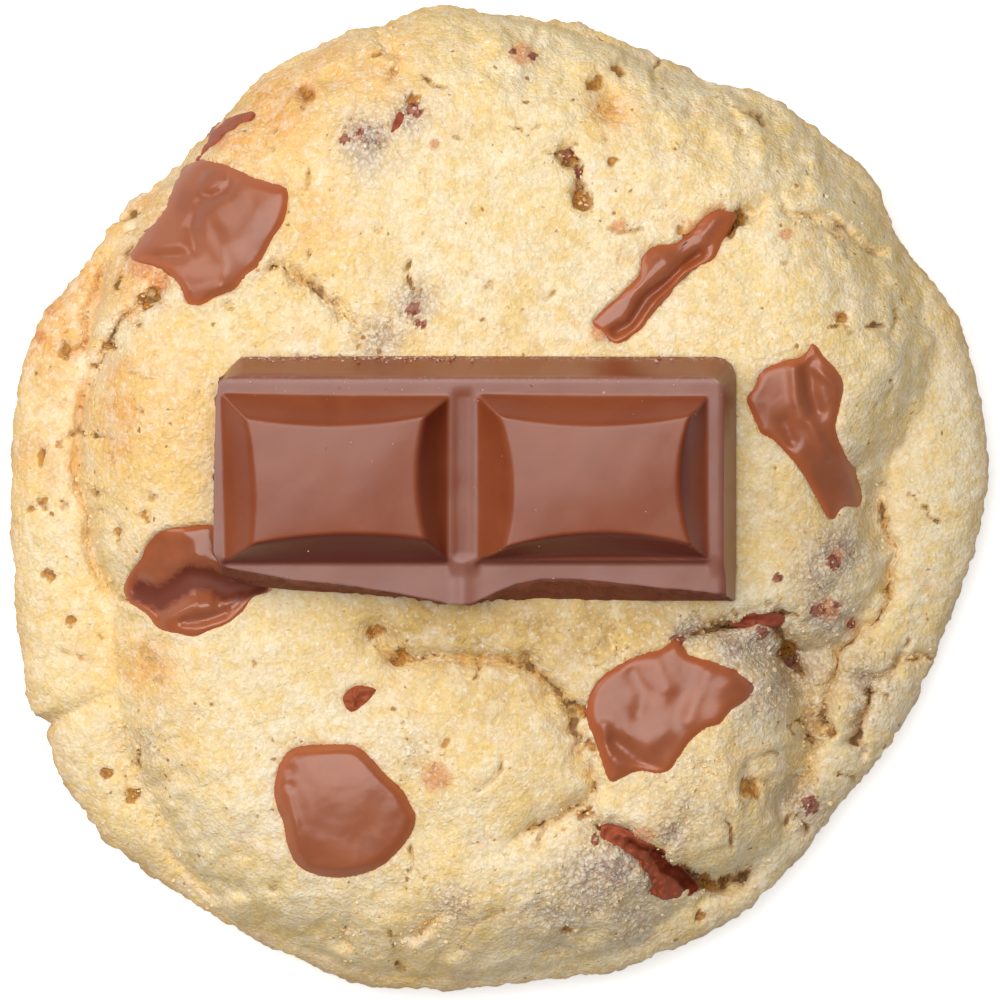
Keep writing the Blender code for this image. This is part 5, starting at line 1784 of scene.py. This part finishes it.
        top_foot, top_edge = straight(x, ftl, ftr, 0), bowed(x, ptl, ptr, top_mid, 0)
        low_foot, low_edge = straight(x, fbl, fbr, 0), bowed(x, pbl, pbr, bottom_mid, 0)
        left_foot, left_edge = straight(y, ftl, fbl, 1), bowed(y, ptl, pbl, left_mid, 1)
        right_foot, right_edge = straight(y, ftr, fbr, 1), bowed(y, ptr, pbr, right_mid, 1)
        climbs = (
            (top_foot - y) / (top_foot - top_edge),
            (y - low_foot) / (low_edge - low_foot),
            (x - left_foot) / (left_edge - left_foot),
            (right_foot - x) / (right_foot - right_edge),
        )
        climb = climbs[0]
        for other in climbs[1:]:
            climb = smooth_min(climb, other, 0.15)
        cx, cy = (ptl[0] + ptr[0]) / 2, (ptl[1] + pbl[1]) / 2
        crown = np.clip(1 - ((x - cx) / 9.5) ** 2, 0, 1) * np.clip(1 - ((y - cy) / 6.8) ** 2, 0, 1)
        return climb, crown


# Scattered pieces.


@dataclass
class Scatter:
    """Many small lumps joined in one piece, each lying on a surface. Sizes are in millimetres."""

    name: str
    count: int
    smallest: float
    largest: float
    flatness: float = 0.75
    seed: int = 3
    detail: int = 1
    rough: float = 0.10

    def build(self, ground: bpy.types.Object, finish: bpy.types.Material, slot: Slot, choose: Chooser,
              carried: tuple[str, ...] = ()) -> bpy.types.Object:
        """Makes the lumps.

        Args:
            ground: The piece that they lie on.
            finish: Their material.
            slot: Their slot.
            choose: Draws a lump's first and second coordinates and its scale.
            carried: The masks that each lump takes over from the place where it lies.

        Returns:
            Their object.
        """
        draw = np.random.default_rng(self.seed)
        around = KDTree(len(ground.data.vertices))
        for vertex in ground.data.vertices:
            around.insert(vertex.co, vertex.index)
        around.balance()
        taken: dict[str, list[float]] = {name: [] for name in carried}
        tree = BVHTree.FromObject(ground, bpy.context.evaluated_depsgraph_get())
        whole, bm = bmesh.new(), bmesh.new()
        shades: list[float] = []
        for _ in range(self.count):
            x, y, scale = choose(draw)
            hit, normal, _, _ = tree.ray_cast(Vector((x, y, 80.0)) * METRES, Vector((0, 0, -1)))
            if hit is None or normal.z < 0.25:
                continue
            size = (self.smallest + (self.largest - self.smallest) * draw.random() ** 2) * scale
            turned = Matrix.Rotation(draw.random() * 6.28, 4, Vector(draw.normal(size=3)))
            stretch = Matrix.Diagonal((1.0, 0.6 + 0.5 * draw.random(), self.flatness, 1.0))
            centre = Matrix.Translation(hit / METRES + normal * size * 0.12)
            made = bmesh.ops.create_icosphere(bm, subdivisions=self.detail, radius=size / 2,
                                              matrix=centre @ turned @ stretch)
            for vertex in made["verts"]:
                vertex.co += Vector(draw.normal(size=3) * size * self.rough)
            shades += [float(draw.random())] * len(made["verts"])
            nearest = around.find(hit)[1]
            for name, values in taken.items():
                values += [ground.data.attributes[name].data[nearest].value] * len(made["verts"])
            if len(bm.verts) > 1500:
                self._pour(bm, whole)
        self._pour(bm, whole)
        bm.free()
        obj = finish_mesh(self.name, whole, 35.0)
        paint(obj.data, shade=np.array(shades), **{name: np.array(values) for name, values in taken.items()})
        obj.data.materials.append(finish)
        place_piece(obj, slot.value)
        return obj

    @staticmethod
    def _pour(batch: bmesh.types.BMesh, whole: bmesh.types.BMesh) -> None:
        """Adds a batch of lumps to the whole, because a small form is quicker to add lumps to.

        Args:
            batch: The batch, which is emptied.
            whole: The form that takes it.
        """
        poured = bpy.data.meshes.new("batch")
        batch.to_mesh(poured)
        whole.from_mesh(poured)
        bpy.data.meshes.remove(poured)
        batch.clear()


def beside_crease(draw: np.random.Generator, line: Line, spread: float) -> Place:
    """Draws a place beside a crease.

    Args:
        draw: The random draw.
        line: The crease's line.
        spread: How far from the line places usually lie.

    Returns:
        The place.
    """
    at, t = draw.integers(len(line) - 1), draw.random()
    x = line[at][0] * (1 - t) + line[at + 1][0] * t + draw.normal() * spread
    y = line[at][1] * (1 - t) + line[at + 1][1] * t + draw.normal() * spread
    return x, y


def crumb_places(draw: np.random.Generator) -> Spot:
    """Draws where a crumb or sugar grain lies: some beside the cracks, the rest all over the crust.

    Args:
        draw: The random draw.

    Returns:
        Its first and second coordinates and its scale.
    """
    if draw.random() < 0.1:
        return (*beside_crease(draw, CREASES[draw.integers(len(CREASES))].line, 1.6), 1.0)
    reach, turn = 45 * math.sqrt(draw.random()), draw.random() * 2 * math.pi
    return reach * math.cos(turn), reach * math.sin(turn), 0.75


def torn_places(draw: np.random.Generator) -> Spot:
    """Draws where a lump of torn dough lies: along the cracks, most in the first, and in the stains.

    Args:
        draw: The random draw.

    Returns:
        Its first and second coordinates and its scale.
    """
    if draw.random() < 0.65:
        return (*beside_crease(draw, CREASES[int(len(CREASES) * draw.random() ** 1.5)].line, 0.8), 0.9)
    spot = STAINS[draw.integers(len(STAINS))]
    x = spot.middle[0] + draw.normal() * spot.reach * 0.5
    y = spot.middle[1] + draw.normal() * spot.reach * 0.5
    return x, y, 1.0


def shaving_places(draw: np.random.Generator) -> Spot:
    """Draws where a shaving lies on the bar: along its far edge, on its border, or anywhere.

    Args:
        draw: The random draw.

    Returns:
        Its first and second coordinates and its scale.
    """
    pick = draw.random()
    if pick < 0.45:
        return -24 + 20 * draw.random(), 13.1 + 0.16 * draw.normal(), 1.3
    if pick < 0.6:
        return -25 + 46 * draw.random(), 13.0 + 0.2 * draw.normal(), 1.0
    if pick < 0.85:
        return -25 + 46 * draw.random(), 10.4 + 0.5 * draw.normal(), 0.6
    return -25 + 46 * draw.random(), -8 + 19 * draw.random(), 0.6


# The studio.


@dataclass(frozen=True)
class SoftLight:
    """A rectangular soft light that faces the cookie, in metres and watts."""

    name: str
    place: tuple[float, float, float]
    size: Place
    power: float
    tint: Colour
    aim: tuple[float, float, float] = (0.0, 0.0, 0.015)

    def hang(self) -> None:
        """Hangs the light, out of the camera's sight."""
        data = bpy.data.lights.new(self.name, "AREA")
        data.shape = "RECTANGLE"
        data.size, data.size_y = self.size
        data.energy = self.power
        data.color = self.tint
        light = bpy.data.objects.new(self.name, data)
        light.location = self.place
        facing = Vector(self.aim) - Vector(self.place)
        light.rotation_euler = facing.to_track_quat("-Z", "Y").to_euler()
        light.visible_camera = False
        bpy.context.scene.collection.objects.link(light)


@dataclass
class Studio:
    """A pale floor, a large soft light a little up and left of the cookie, a side light and a surround."""

    camera_height: float = 4.0
    camera_level: float = 0.012
    picture_width: float = 0.094
    sensor_mm: float = 36.0
    middle: Place = (0.000141, -0.000141)
    lights: tuple[SoftLight, ...] = (
        SoftLight("key", (-0.105, 0.11, 0.76), (0.68, 0.62), 5.6, (1.0, 0.985, 0.965)),
        SoftLight("side", (-0.60, 0.42, 0.42), (0.5, 0.5), 2.2, (1.0, 0.98, 0.95)),
    )
    surround: float = 0.20
    surround_seen: float = 0.90
    floor_shade: float = 0.60
    floor_seen_lift: float = 0.33
    floor_seen_glow: float = 0.48

    def place_camera(self) -> None:
        """Puts the camera straight above the cookie, far off, so that heights hardly shift anything."""
        data = bpy.data.cameras.new("camera")
        data.sensor_width = self.sensor_mm
        data.lens = self.sensor_mm * (self.camera_height - self.camera_level) / self.picture_width
        data.clip_end = 20.0
        camera = bpy.data.objects.new("camera", data)
        camera.location = (*self.middle, self.camera_height)
        bpy.context.scene.collection.objects.link(camera)
        bpy.context.scene.camera = camera

    def light(self) -> None:
        """Hangs the lights and sets the surround."""
        for soft_light in self.lights:
            soft_light.hang()
        world = bpy.data.worlds.new("surround")
        world.use_nodes = True
        bench = NodeBench(world.node_tree)
        background = world.node_tree.nodes["Background"]
        background.inputs["Color"].default_value = (1.0, 1.0, 1.0, 1.0)
        seen = bench.add("LightPath").outputs["Is Camera Ray"]
        strength = bench.math("MULTIPLY_ADD", seen, self.surround_seen - self.surround, self.surround)
        bench.feed(background.inputs["Strength"], strength)
        bpy.context.scene.world = world
        bpy.context.scene.view_settings.view_transform = "Standard"

    def lay_floor(self) -> None:
        """Lays the floor under the cookie: white to look at, but it throws less light back than it shows."""
        bm = bmesh.new()
        bmesh.ops.create_grid(bm, x_segments=4, y_segments=4, size=1500.0)
        floor = finish_mesh("floor", bm)
        material, bench, shader = new_material("pale floor")
        seen = bench.add("LightPath").outputs["Is Camera Ray"]
        shade = bench.math("MULTIPLY_ADD", bench.noise(bench.place(), 40.0, 2.0), 0.01, self.floor_shade)
        shade = bench.math("MULTIPLY_ADD", seen, self.floor_seen_lift, shade)
        grey = bench.add("CombineColor", {0: shade, 1: shade, 2: shade}).outputs[0]
        bench.feed(shader.inputs["Base Color"], grey)
        shader.inputs["Roughness"].default_value = 0.9
        shader.inputs["Emission Color"].default_value = (1.0, 1.0, 1.0, 1.0)
        bench.feed(shader.inputs["Emission Strength"], bench.times(seen, self.floor_seen_glow))
        floor.data.materials.append(material)


def main() -> None:
    """Builds the studio and every piece in order."""
    logging.basicConfig(level=logging.INFO, format="%(name)s %(message)s")
    studio = Studio()
    studio.place_camera()
    grain, streaks = SandyGrain(), ChocolateStreaks()
    dough_finish = DoughFinish(grain).make()
    melted_finish = MeltedFinish(streaks).make()
    sunken_finish = MeltedFinish(streaks, "sunken chocolate", 0.15).make()
    moulded_finish = MouldedFinish(streaks).make()
    crumb_finish = CrumbFinish(grain).make()
    shaving_finish = ShavingFinish(grain).make()

    cookie = Cookie()
    dough = cookie.build(dough_finish)
    for chunk in CHUNKS:
        chunk.build(cookie.crust, sunken_finish if chunk.sunken else melted_finish)
    bar = BarPiece().build(moulded_finish)
    crumbs = Scatter("crumbs", count=1200, smallest=0.10, largest=0.20)
    crumbs.build(dough, crumb_finish, Slot.DOUGH, crumb_places)
    torn = Scatter("torn_dough", count=1700, smallest=0.24, largest=0.60, flatness=0.45, seed=17,
                   detail=2, rough=0.05)
    # The torn lumps take over the crust's masks, its painted shadow and the painted shade of its cracks among
    # them.
    torn.build(dough, dough_finish, Slot.DOUGH, torn_places,
               ("toast", "stain", "warm", "rust", "pale", "painted_shade", "gap"))
    shavings = Scatter("shavings", count=170, smallest=0.15, largest=0.5, flatness=0.4, seed=9)
    shavings.build(bar, shaving_finish, Slot.MOULDED, shaving_places)

    studio.lay_floor()
    studio.light()


if __name__ == "__main__":
    main()
